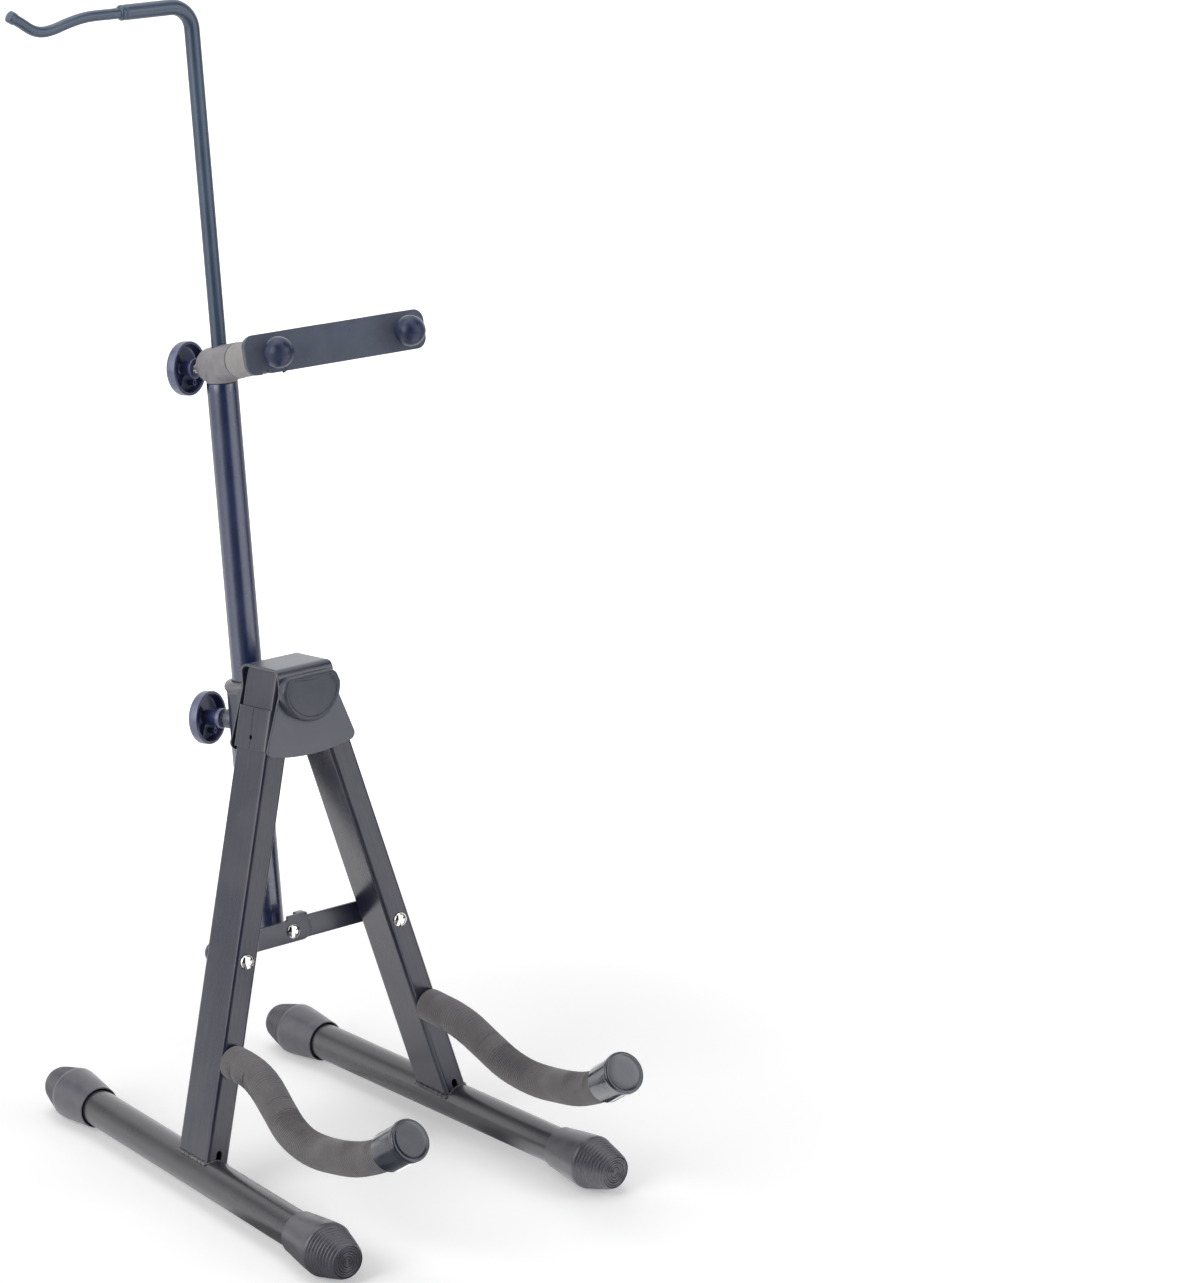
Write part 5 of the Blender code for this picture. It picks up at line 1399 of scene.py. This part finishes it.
@dataclass(frozen=True)
class Post(Assembly):
    """The sliding post with its end plug."""

    radius: float = POST_RADIUS
    wall: float = 0.0012
    bottom: float = 0.1180
    flange: float = 0.0023
    plug_depth: float = 0.012
    plug_edge: float = 0.0008

    def build(self, frame: dict) -> None:
        """Make the tube and its plug, and coat the bush inside its top.

        Args:
            frame: The loaded frame.
        """
        place, radius, bottom, edge = self.places.post, self.radius, self.bottom, self.plug_edge
        low = bottom + self.flange
        tube = pipe_profile(radius, radius - self.wall, low, POST_TOP, rows=58)
        dress(turned("post_bar", tube, place, 80, wrap_rows=True), POST_PAINT, "post", "post_tube")
        inner, end = radius - self.wall - SEAT, bottom + self.plug_depth
        face = ((0.0, bottom + 0.0003), (0.004, bottom + 0.0003), (0.0046, bottom))
        stem = ((radius, low - SEAT), (inner, low - SEAT), (inner, end), (0.0, end))
        plug = np.vstack((face, arc((radius - edge, bottom + edge), edge, -90, 0, 5), stem))
        dress(turned("post_foot_plug", plug, place, 64), BLACK_PLASTIC, "post", "post_end_plug")
        coat(frame, BLACK_PLASTIC, "post_top_bush", "rod_guide")


@dataclass(frozen=True)
class BowHook(Assembly):
    """The thin rod, bent over to the left, and the wire hook in its end."""

    rod_radius: float = 0.0042
    bend: float = 0.0125
    top: float = 0.6382
    foot: float = 0.4219
    tube_reach: float = 0.0450
    wire_radius: float = 0.0029
    tip_radius: float = 0.0033
    tip_length: float = 0.0045
    tip_dome: float = 0.0012
    ring_at: float = 0.0032
    ring_depth: float = 0.00035
    mouth_depth: float = 0.0007
    route: tuple[tuple[float, float], ...] = (
        (0.0350, 0.0000), (0.0500, -0.0001), (0.0620, -0.0001), (0.0700, -0.0009), (0.0780, -0.0026),
        (0.0860, -0.0047), (0.0930, -0.0054), (0.0990, -0.0038), (0.1060, 0.0008), (0.1115, 0.0042))

    def rod(self) -> None:
        """Make the rod: rings carried up, round a quarter circle and out to the left, with
        a pressed ring and a turned-in mouth near its end."""
        rise = np.column_stack((np.zeros(40), np.linspace(self.foot, self.top - self.bend, 40)))
        turn = arc((-self.bend, self.top - self.bend), self.bend, 0, 90, 24)[1:]
        out = np.column_stack((np.linspace(-self.bend, -self.tube_reach, 80)[1:], np.full(79, self.top)))
        flat = np.vstack((rise, turn, out))
        path = self.places.post.world(np.column_stack((flat[:, 0], np.zeros(len(flat)), flat[:, 1])))
        reach = self.tube_reach + flat[:, 0]
        level = (flat[:, 1] > self.top - 1e-6)
        ring = self.ring_depth * np.exp(-((reach - self.ring_at) / self.ring_depth) ** 2) * level
        mouth = self.mouth_depth * (1 - smooth_step(reach, 0.0, 0.0010)) * level
        radius = np.repeat((self.rod_radius - ring - mouth)[:, None], 48, axis=1)
        grid = swept_points(path, radius, self.places.post.axes[1])
        body = surface("hook_bar", grid, fill=True)
        dress(body, HOOK_PAINT, "bow_hook", "hook_rod", crease=60)

    def wire(self) -> None:
        """Make the hook: a wire that leaves the rod, dips for the bow and rises."""
        knots = np.array([(-x, 0.0, self.top + rise) for x, rise in self.route])
        knots[0] = (0.010 - self.tube_reach, 0.0, self.top)
        path = self.places.post.world(smooth_path(knots, 220))
        radius = np.full((len(path), 36), self.wire_radius)
        body = surface("hook_dip", swept_points(path, radius, self.places.post.axes[1]), fill=True)
        dress(body, HOOK_PAINT, "bow_hook", "hook_wire", crease=60)

    def tip(self) -> None:
        """Make the small cap on the hook's tip."""
        knots = np.array([(-x, 0.0, self.top + rise) for x, rise in self.route[-2:]])
        start, end = self.places.post.world(knots)
        ahead = unit(end - start)
        back = self.places.post.axes[1]
        place = Place(end, np.array((np.cross(back, ahead), back, ahead)))
        outer, length = self.tip_radius, self.tip_length
        foot, wire = 0.0015 - length, self.wire_radius
        tail = arc((outer - 0.0003, 0.0018 - length), 0.0003, 0, -90, 3)
        cap = (dome(outer, self.tip_dome, 0.0003), tail, ((wire, foot), (wire, 0.0), (0.0, 0.0)))
        body = turned("hook_tip", np.vstack(cap), place, 40)
        dress(body, TIP_PLASTIC, "bow_hook", "hook_tip_cap", crease=50)

    def build(self) -> None:
        """Make every piece of the bow hook."""
        self.rod()
        self.wire()
        self.tip()


@dataclass(frozen=True)
class ClampKnob(Assembly):
    """A cup-shaped knob with ribs, a hub and a small moulded peg, and its threaded stud."""

    word: str
    joint: str
    body: str
    rim: float
    hub_end: float
    stud_tip: float
    radius: float = 0.0149
    depth: float = 0.0066
    wall: float = 0.0016
    edge: float = 0.0026
    face_rise: float = 0.00025
    hub_radius: float = 0.0056
    hub_neck: float = 0.0040
    rib: float = 0.0008
    ribs: int = 3
    rib_share: float = 0.4
    stud_radius: float = 0.0025
    thread_pitch: float = 0.0008
    thread_depth: float = 0.0004
    peg_radius: float = 0.0017
    peg_at: float = 0.0096

    def cup(self) -> None:
        """Turn the cup's profile: a low-domed back, a round edge, the wall, the hollow and
        the hub, which widens from its neck to its collar."""
        back = self.rim + self.depth
        inner = self.radius - self.wall
        floor = back - self.wall
        bore = self.stud_radius + SLIP
        away = np.linspace(0, self.radius - self.edge, 12)
        face = np.column_stack((away, back - self.face_rise * (1 - (away / away[-1]) ** 2)))
        round_edge = arc((self.radius - self.edge, back - self.edge), self.edge, 85, 0, 10)
        lip = arc((self.radius - 0.0005, self.rim + 0.0005), 0.0005, 0, -90, 4)
        inner_lip = arc((inner + 0.0004, self.rim + 0.0004), 0.0004, 270, 180, 4)
        hollow = arc((inner - 0.0016, floor - 0.0008), 0.0008, 0, 90, 5)
        fillet = arc((self.hub_neck + 0.0008, floor - 0.0008), 0.0008, 90, 180, 5)
        reach = floor - self.hub_end
        neck = np.linspace(0.15, 0.74, 10)
        shaft = np.column_stack((self.hub_neck + (self.hub_radius - 0.0008 - self.hub_neck) * neck ** 1.5,
                                 floor - reach * neck))
        collar = np.vstack((((self.hub_radius, floor - reach * 0.80),),
                            arc((self.hub_radius - 0.0006, self.hub_end + 0.0006), 0.0006, 0, -90, 4)))
        profile = np.vstack((face, round_edge, lip, inner_lip, hollow, fillet, shaft, collar,
                             ((bore, self.hub_end), (bore, floor - 0.0005), (0.0, floor - 0.0005))))
        body = turned(f"{self.word}_knob_cup", profile, self.places.knob(self.joint), 96)
        dress(body, KNOB_PLASTIC, self.body, f"{self.word}_knob", crease=45)

    def ribs_and_peg(self) -> None:
        """Make the webs from hub to wall and the small hollow peg low in the cup."""
        place = self.places.knob(self.joint)
        inner = self.radius - self.wall
        floor = self.rim + self.depth - self.wall
        height = self.rib_share * (floor - self.rim)
        start, end = self.hub_neck - self.rib, inner + self.wall / 2
        outline = rounded_rectangle((end - start) / 2, self.rib / 2, 0.0003, 3)
        for index in range(self.ribs):
            spoke = place.turned(360 * index / self.ribs, "z").moved(x=(start + end) / 2)
            name = f"{self.word}_knob_web_{index}"
            web = slab(name, outline, floor - height, floor + 0.0004, spoke, 0.0002, 2)
            dress(web, KNOB_PLASTIC, self.body, crease=50)
        outer, root, pit, top = self.peg_radius, floor + 0.0002, floor - 0.0028, floor - 0.0036
        rim = arc((outer - 0.0002, floor - 0.0034), 0.0002, -90, 0, 3)
        hollow = ((0.0, pit), (outer * 0.5, pit), (outer * 0.5, top))
        peg = np.vstack((hollow, rim, ((outer, root), (0.0, root))))
        spot = place.turned(62, "z").moved(x=self.peg_at)
        dress(turned(f"{self.word}_knob_peg", peg, spot, 32), KNOB_PLASTIC, self.body, crease=50)

    def stud(self) -> None:
        """Make the stud. One parameter runs round it and the other along it; its radius is a
        triangle wave of z over the pitch, turned on by the angle, which makes a helix."""
        end = self.rim + self.depth - 2 * self.wall - 0.001
        rows, columns = int((end - self.stud_tip) / self.thread_pitch * 10), 36
        height = np.linspace(self.stud_tip, end, rows)[:, None]
        turn = np.mod(height / self.thread_pitch + around(columns) / (2 * np.pi), 1.0)
        wave = 1 - np.abs(2 * turn - 1)
        lead = smooth_step(height, self.stud_tip, self.stud_tip + self.thread_pitch)
        radius = (self.stud_radius - self.thread_depth * wave) * (0.75 + 0.25 * lead)
        points = self.places.knob(self.joint).world(rings(radius, height, columns))
        body = surface(f"{self.word}_thread", points, fill=True)
        dress(body, NICKEL, self.body, f"{self.word}_knob_stud", crease=50)

    def build(self) -> None:
        """Make every piece of the knob."""
        self.cup()
        self.ribs_and_peg()
        self.stud()


@dataclass(frozen=True)
class NeckRest(Assembly):
    """The clamp on the rod, the foam-sleeved arm and the faced plate with two balls."""

    axis_height: float = 0.4447
    yaw: float = -2.1
    rise: float = 10.0
    tilt: float = 7.0
    arm_reach: float = 0.1187
    clamp_radius: float = 0.0099
    clamp_rear: float = 0.0165
    clamp_front: float = 0.0200
    clamp_round: float = 0.0095
    clamp_edge: float = 0.0006
    seat_radius: float = 0.0088
    rod_bore: float = 0.0044
    foam_radius: float = 0.0097
    tube_radius: float = 0.0045
    plate_half_length: float = 0.0559
    plate_half_height: float = 0.01045
    plate_corner: float = 0.0060
    plate_sheet: float = 0.0020
    facing: float = 0.0020
    ball_spacing: float = 0.0821
    ball_radius: float = 0.0082
    ball_standoff: float = 0.0084
    peg_radius: float = 0.0025
    peg_rim: float = 0.0012
    peg_dome: float = 0.0015
    peg_end: float = 0.003
    slit_foot: tuple[float, float] = (-0.0318, -0.0112)
    slit_head: tuple[float, float] = (-0.0344, -0.0066)
    slit_depth: float = 0.0010
    slit_width: float = 0.00016
    notch_x: float = -0.0446
    notch_half: float = 0.0026
    notch_depth: float = 0.0019

    @property
    def arm(self) -> Place:
        """Return the arm's frame: Z forward along it from the post's axis."""
        return self.places.post.moved(z=self.axis_height).turned(self.yaw, "z").turned(90 - self.rise, "x")

    @property
    def plate(self) -> Place:
        """Return the plate's frame: X along it, Y up it and Z out of its face."""
        square = self.places.post.turned(self.yaw, "z").turned(90 - self.tilt, "x")
        return Place(self.arm.world((0.0, 0.0, self.arm_reach)), square.axes)

    def clamp(self) -> None:
        """Make the clamp body: a turned stub whose rear is a superellipse, cut flat where
        it sits on the post's top.
        """
        share = np.linspace(0, 1, 26) ** 1.6
        rear = np.column_stack((self.clamp_radius * (1 - (1 - share) ** 2.3) ** (1 / 2.1),
                                -self.clamp_rear + self.clamp_round * share))
        edge = self.clamp_edge
        side = np.linspace(self.clamp_round - self.clamp_rear, self.clamp_front - edge, 24)[1:]
        barrel = np.column_stack((np.full_like(side, self.clamp_radius), side))
        front = arc((self.clamp_radius - edge, self.clamp_front - edge), edge, 0, 90, 4)
        profile = np.vstack((rear, barrel, front, ((0.0, self.clamp_front),)))
        body = turned("neck_clamp_body", profile, self.arm, 96)
        post, low = self.places.post, POST_TOP + SLIP
        reshape(body, lambda points: post.world(np.maximum(post.local(points), (-np.inf, -np.inf, low))))
        seat = pipe_profile(self.seat_radius, self.rod_bore, low, self.axis_height - 0.004, edge)
        ring = turned("neck_clamp_seat", seat, post, 64, wrap_rows=True)
        dress(ring, CLAMP_PLASTIC, "neck_rest", crease=50)
        dress(body, CLAMP_PLASTIC, "neck_rest", "neck_clamp", crease=50)

    def foam(self) -> None:
        """Make the arm's foam sleeve. One parameter runs round it and the other along it, to
        where its line meets the plane of the plate's rear; its radius swells a little.
        """
        arm, plate = self.arm, self.plate
        columns, start = 96, self.clamp_front + SEAT
        angle = around(columns)
        ring = rings(np.array(self.foam_radius), np.array(0.0), columns)
        face = plate.world((0.0, 0.0, -self.facing - self.plate_sheet - SLIP))
        away = (face - arm.world(ring)) @ plate.axes[2] / (arm.axes[2] @ plate.axes[2])
        share = np.linspace(0, 1, 130)[:, None]
        height = start + (away - start) * share
        edge = np.minimum(height - start, away - height)
        swell = 0.00008 * np.sin(height * 260 + 2 * angle)
        ripple = 0.00005 * np.sin(height * 900 - angle)
        radius = self.foam_radius + swell + ripple - 0.0008 * (1 - smooth_step(edge, -0.0001, 0.0011))
        local = rings(radius, height, columns)
        narrow = self.tube_radius / self.foam_radius
        rims = local[[0, -1]] * (narrow, narrow, 1.0)
        local = np.concatenate((rims[:1], local, rims[1:]))
        body = surface("neck_arm_sleeve", arm.world(local), fill=True)
        dress(body, NECK_FOAM, "neck_rest", "neck_arm_foam", crease=70, fill=1.0)

    def facing_sheet(self) -> None:
        """Make the plate's foam facing. One parameter runs along it and the other up it, from
        -1 to 1 of its half height, which falls as a quarter circle at each corner. A fine
        slit runs in from its lower edge, and a notch is cut there under the left ball.
        """
        half, corner = self.plate_half_length, self.plate_corner
        slit_x = (self.slit_foot[0] + self.slit_head[0]) / 2
        end = half - corner * (1 - np.cos(np.linspace(0, np.pi / 2, 24)))
        stations = np.concatenate((end, -end, np.linspace(-half + corner, half - corner, 170),
                                   np.linspace(slit_x - 0.0030, slit_x + 0.0030, 80),
                                   np.linspace(self.notch_x - 0.0034, self.notch_x + 0.0034, 60)))
        along = np.unique(np.round(np.clip(stations, -half, half), 6))
        fall = np.clip(np.abs(along) - (half - corner), 0.0, corner)
        top = self.plate_half_height - corner + np.sqrt(corner ** 2 - fall ** 2)
        aside = np.abs(along - self.notch_x)
        notch = 1 - smooth_step(aside, self.notch_half - 0.0006, self.notch_half + 0.0002)
        low = -top + self.notch_depth * notch
        share = np.linspace(0, 1, 110)[:, None]
        up = low + (top - low) * share
        across = np.broadcast_to(along, up.shape)
        foot, head = np.array(self.slit_foot), np.array(self.slit_head)
        line, length = unit(head - foot), np.linalg.norm(head - foot)
        offset = np.stack((across, up), axis=-1) - foot
        beside = offset @ np.array((-line[1], line[0]))
        inside = 1 - smooth_step(offset @ line, length - 0.0005, length)
        slit = self.slit_depth * np.exp(-(beside / self.slit_width) ** 2) * inside
        wave = 0.00012 * np.sin(across * 130 + 0.6) * np.sin(up * 180 + 1.0)
        local = np.stack((across, up, -slit + wave), axis=-1)
        plate = self.plate
        behind = plate.world((0, 0, -0.05))
        body = surface("plate_facing", plate.world(local), wrap_columns=False, inside=behind)
        thicken(body, self.facing, 0.0007, even=False)
        dress(body, FACING_FOAM, "neck_rest", "neck_plate_pad", crease=60, fill=1.0)

    def steel_plate(self) -> None:
        """Make the steel plate behind the facing."""
        inset = 0.0006
        outline = rounded_rectangle(self.plate_half_length - inset, self.plate_half_height - inset,
                                    self.plate_corner - inset, 12)
        low = -self.facing - self.plate_sheet
        body = slab("plate_steel", outline, low, -self.facing - SEAT, self.plate, 0.0003)
        dress(body, FRAME_PAINT, "neck_rest", "neck_plate", crease=50)

    def ball(self, side: Side) -> None:
        """Make a ball and its peg: a sphere that ends in a short foot on the facing, with a
        faint mould line round its middle.

        Args:
            side: The side of the stand.
        """
        place = self.plate.moved(x=side.value * self.ball_spacing / 2)
        lift = self.ball_standoff
        angle = np.radians(np.linspace(90, -62, 60))
        radius = self.ball_radius + 0.00006 * np.exp(-((angle + 0.1) / 0.03) ** 2)
        sphere = np.column_stack((radius * np.cos(angle), lift + radius * np.sin(angle)))
        foot = arc((sphere[-1, 0] + 0.0006, 0.0007), 0.0006, 180, 270, 4)
        profile = np.vstack((sphere, foot, ((0.0, SEAT),)))
        body = turned(f"{side.word}_rest_ball", profile, place, 72)
        dress(body, BALL_RUBBER, "neck_rest", f"{side.word}_neck_ball", crease=60, fill=1.0)
        behind, shank, end = -self.facing - self.plate_sheet, self.peg_radius, self.peg_end
        head = dome(shank + self.peg_rim, -self.peg_dome, behind, 7)
        peg = np.vstack((head, ((shank, behind), (shank, end), (0.0, end))))
        body = turned(f"{side.word}_rest_peg", peg, place, 36)
        dress(body, NICKEL, "neck_rest", f"{side.word}_neck_peg", crease=50)

    def build(self, frame: dict) -> None:
        """Make every piece of the neck rest, and coat the tube inside its foam."""
        self.clamp()
        self.foam()
        self.facing_sheet()
        self.steel_plate()
        for side in Side:
            self.ball(side)
        coat(frame, FRAME_PAINT, "neck_arm_tube")


@dataclass(frozen=True)
class Softbox:
    """A rectangular lamp: where it stands, how big it is and how much light it gives."""

    name: str
    spot: Spot
    size: tuple[float, float]
    power: float
    colour: Colour = (1.0, 1.0, 1.0)
    aim: Spot = (0.0, 0.0, 0.25)

    def build(self) -> None:
        """Make the lamp and point it at its aim."""
        data = bpy.data.lights.new(self.name, "AREA")
        data.shape = "RECTANGLE"
        data.size, data.size_y = self.size
        data.energy = self.power
        data.color = self.colour
        lamp = bpy.data.objects.new(self.name, data)
        bpy.context.scene.collection.objects.link(lamp)
        point_at(lamp, self.spot, self.aim)


def point_at(obj: Piece, spot: Spot, aim: Spot) -> None:
    """Stand an object at a spot with its -Z axis towards an aim and its top upwards."""
    back = unit(np.array(spot) - np.array(aim))
    across = unit(np.cross((0.0, 0.0, 1.0), back)) if abs(back[2]) < 0.999 else np.array((1.0, 0.0, 0.0))
    up = np.cross(back, across)
    rows = np.column_stack((across, up, back, spot))
    obj.matrix_world = Matrix((*rows, (0.0, 0.0, 0.0, 1.0)))


@dataclass(frozen=True)
class Card:
    """A bright card that shiny surfaces mirror: where it is round the stand, how wide and
    how bright. Its place is an angle from the camera, positive to the picture's right."""

    place: float
    spread: float
    fade: float
    strength: float


@dataclass(frozen=True)
class Studio:
    """The pale floor, the lamps, the mirrored cards, the world and the camera."""

    floor_half: float = 6.0
    floor_drop: float = 0.0002
    floor_colour: Colour = (0.82, 0.82, 0.82)
    floor_glow: float = 0.28
    glow_reach: tuple[float, float] = (0.25, 0.85)
    ambient: float = 0.40
    dim: float = 0.015
    cards: tuple[Card, ...] = (Card(-74.0, 32.0, 18.0, 2.3), Card(54.0, 21.0, 14.0, 2.3),
                               Card(180.0, 58.0, 30.0, 1.6))
    floor_cards: tuple[Card, ...] = (Card(-84.0, 46.0, 20.0, 1.3), Card(64.0, 32.0, 16.0, 2.8),
                                     Card(180.0, 60.0, 30.0, 1.2), Card(0.0, 178.0, 4.0, 0.4))
    camera_spot: Spot = (-1.26696, -1.78405, 0.9626)
    camera_pitch: float = 16.78
    camera_yaw: float = -39.27
    focal_pixels: float = 4265.0
    image_width: float = 1200.0
    sensor: float = 36.0
    lamps: tuple[Softbox, ...] = (
        Softbox("key_softbox", (-1.70, -0.20, 1.05), (1.1, 1.5), 20.0),
        Softbox("fill_softbox", (1.30, -1.60, 1.10), (1.2, 1.2), 11.0, (0.94, 0.96, 1.0)),
        Softbox("top_softbox", (-0.10, 0.15, 1.90), (1.3, 1.3), 10.0))

    def mirrored(self, nodes: Nodes, where: Socket, cards: Sequence[Card]) -> Socket:
        """Return the brightness that shiny surfaces see in a direction: for each card, an
        ease of the direction's level part along the card's own, times its strength.

        Args:
            nodes: The node tree to add to.
            where: A direction, or a place seen from the stand.
            cards: The cards.

        Returns:
            The brightness.
        """
        level = nodes.arrow("MULTIPLY", "Vector", where, (1.0, 1.0, 0.0))
        ahead = nodes.arrow("NORMALIZE", "Vector", level)
        total = self.dim
        for card in cards:
            angle = math.radians(card.place - 90 + self.camera_yaw)
            along = nodes.arrow("DOT_PRODUCT", "Value", ahead, (math.cos(angle), math.sin(angle), 0.0))
            outer, inner = (math.cos(math.radians(card.spread + turn * card.fade)) for turn in (0.5, -0.5))
            total = nodes.worked("ADD", nodes.ease(along, outer, inner, 0.0, card.strength), total)
        return total

    def floor(self) -> None:
        """Make the floor: matt white that also glows a little to the camera, and more with
        distance, so that it runs into the background. Shiny surfaces see it brighter
        towards the cards, with its shadows."""
        half = self.floor_half
        grid = np.array([[(-half, -half, 0.0), (half, -half, 0.0)], [(-half, half, 0.0), (half, half, 0.0)]])
        plane = surface("floor", grid, wrap_columns=False, inside=np.array((0.0, 0.0, -1.0)))
        plane.location = (0.0, 0.0, -self.floor_drop)
        material = bpy.data.materials.new("pale_floor")
        material.use_nodes = True
        nodes = Nodes(material.node_tree)
        nodes.tree.nodes.clear()
        where = nodes.node("ShaderNodeTexCoord").outputs["Object"]
        rays = nodes.node("ShaderNodeLightPath").outputs
        reach = nodes.ease(nodes.arrow("LENGTH", "Value", where), *self.glow_reach, self.floor_glow, 1.0)
        strength = nodes.worked("MULTIPLY", reach, rays["Is Camera Ray"])
        matt = nodes.node("ShaderNodeBsdfDiffuse", {"Color": (*self.floor_colour, 1.0)})
        glow = nodes.node("ShaderNodeEmission", {"Strength": strength})
        mirror = nodes.node("ShaderNodeBsdfDiffuse", {"Color": self.mirrored(nodes, where, self.floor_cards)})
        both = nodes.node("ShaderNodeAddShader", {0: matt.outputs[0], 1: glow.outputs[0]})
        layers = {0: rays["Is Glossy Ray"], 1: both.outputs[0], 2: mirror.outputs[0]}
        final = nodes.node("ShaderNodeMixShader", layers)
        nodes.node("ShaderNodeOutputMaterial", {"Surface": final.outputs[0]})
        plane.data.materials.append(material)

    def world(self) -> None:
        """Make the world: white to the camera, the cards and the white backdrop in
        reflections, and an even grey elsewhere."""
        world = bpy.data.worlds.new("studio")
        bpy.context.scene.world = world
        world.use_nodes = True
        nodes = Nodes(world.node_tree)
        where = nodes.node("ShaderNodeTexCoord").outputs["Generated"]
        rays = nodes.node("ShaderNodeLightPath").outputs
        shiny = nodes.worked("MAXIMUM", rays["Is Glossy Ray"], rays["Is Transmission Ray"])
        light = nodes.mixed(shiny, self.ambient, self.mirrored(nodes, where, self.cards))
        light = nodes.mixed(rays["Is Camera Ray"], light, 1.0)
        ground = nodes.tree.nodes["Background"]
        ground.inputs["Color"].default_value = (1.0, 1.0, 1.0, 1.0)
        nodes.tree.links.new(light, ground.inputs["Strength"])

    def camera(self) -> None:
        """Make the camera at the photograph's place and angle."""
        data = bpy.data.cameras.new("camera")
        data.sensor_fit = "HORIZONTAL"
        data.sensor_width = self.sensor
        data.lens = self.focal_pixels / self.image_width * self.sensor
        data.clip_start, data.clip_end = 0.1, 50.0
        camera = bpy.data.objects.new("camera", data)
        bpy.context.scene.collection.objects.link(camera)
        camera.location = self.camera_spot
        camera.rotation_euler = (math.radians(90 - self.camera_pitch), 0.0, math.radians(self.camera_yaw))
        bpy.context.scene.camera = camera

    def build(self) -> None:
        """Make the whole studio."""
        bpy.context.scene.view_settings.view_transform = "Standard"
        self.camera()
        self.floor()
        self.world()
        for lamp in self.lamps:
            lamp.build()


# Each knob's word, joint and body, then its rim, its hub's end and its stud's tip
KNOBS = (("lower", "height_knob_spin", "height_knob", 0.0262, 0.0180, 0.0089),
         ("upper", "neck_knob_spin", "neck_knob", 0.0205, 0.0168, 0.0045))


def main() -> None:
    """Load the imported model, dress every part of it and set up the studio."""
    logging.basicConfig(level=logging.INFO, format="%(name)s: %(message)s")
    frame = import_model()
    Studio().build()
    places = StandPlaces(frame["joints"])
    Head(places).build()
    for side in Side:
        Leg(places, side).build()
        SupportArm(places, side).build(frame)
    Brace(places).build()
    Post(places).build(frame)
    NeckRest(places).build(frame)
    BowHook(places).build()
    for word, joint, body, rim, hub_end, stud_tip in KNOBS:
        ClampKnob(places, word, joint, body, rim, hub_end, stud_tip).build()


if __name__ == "__main__":
    main()
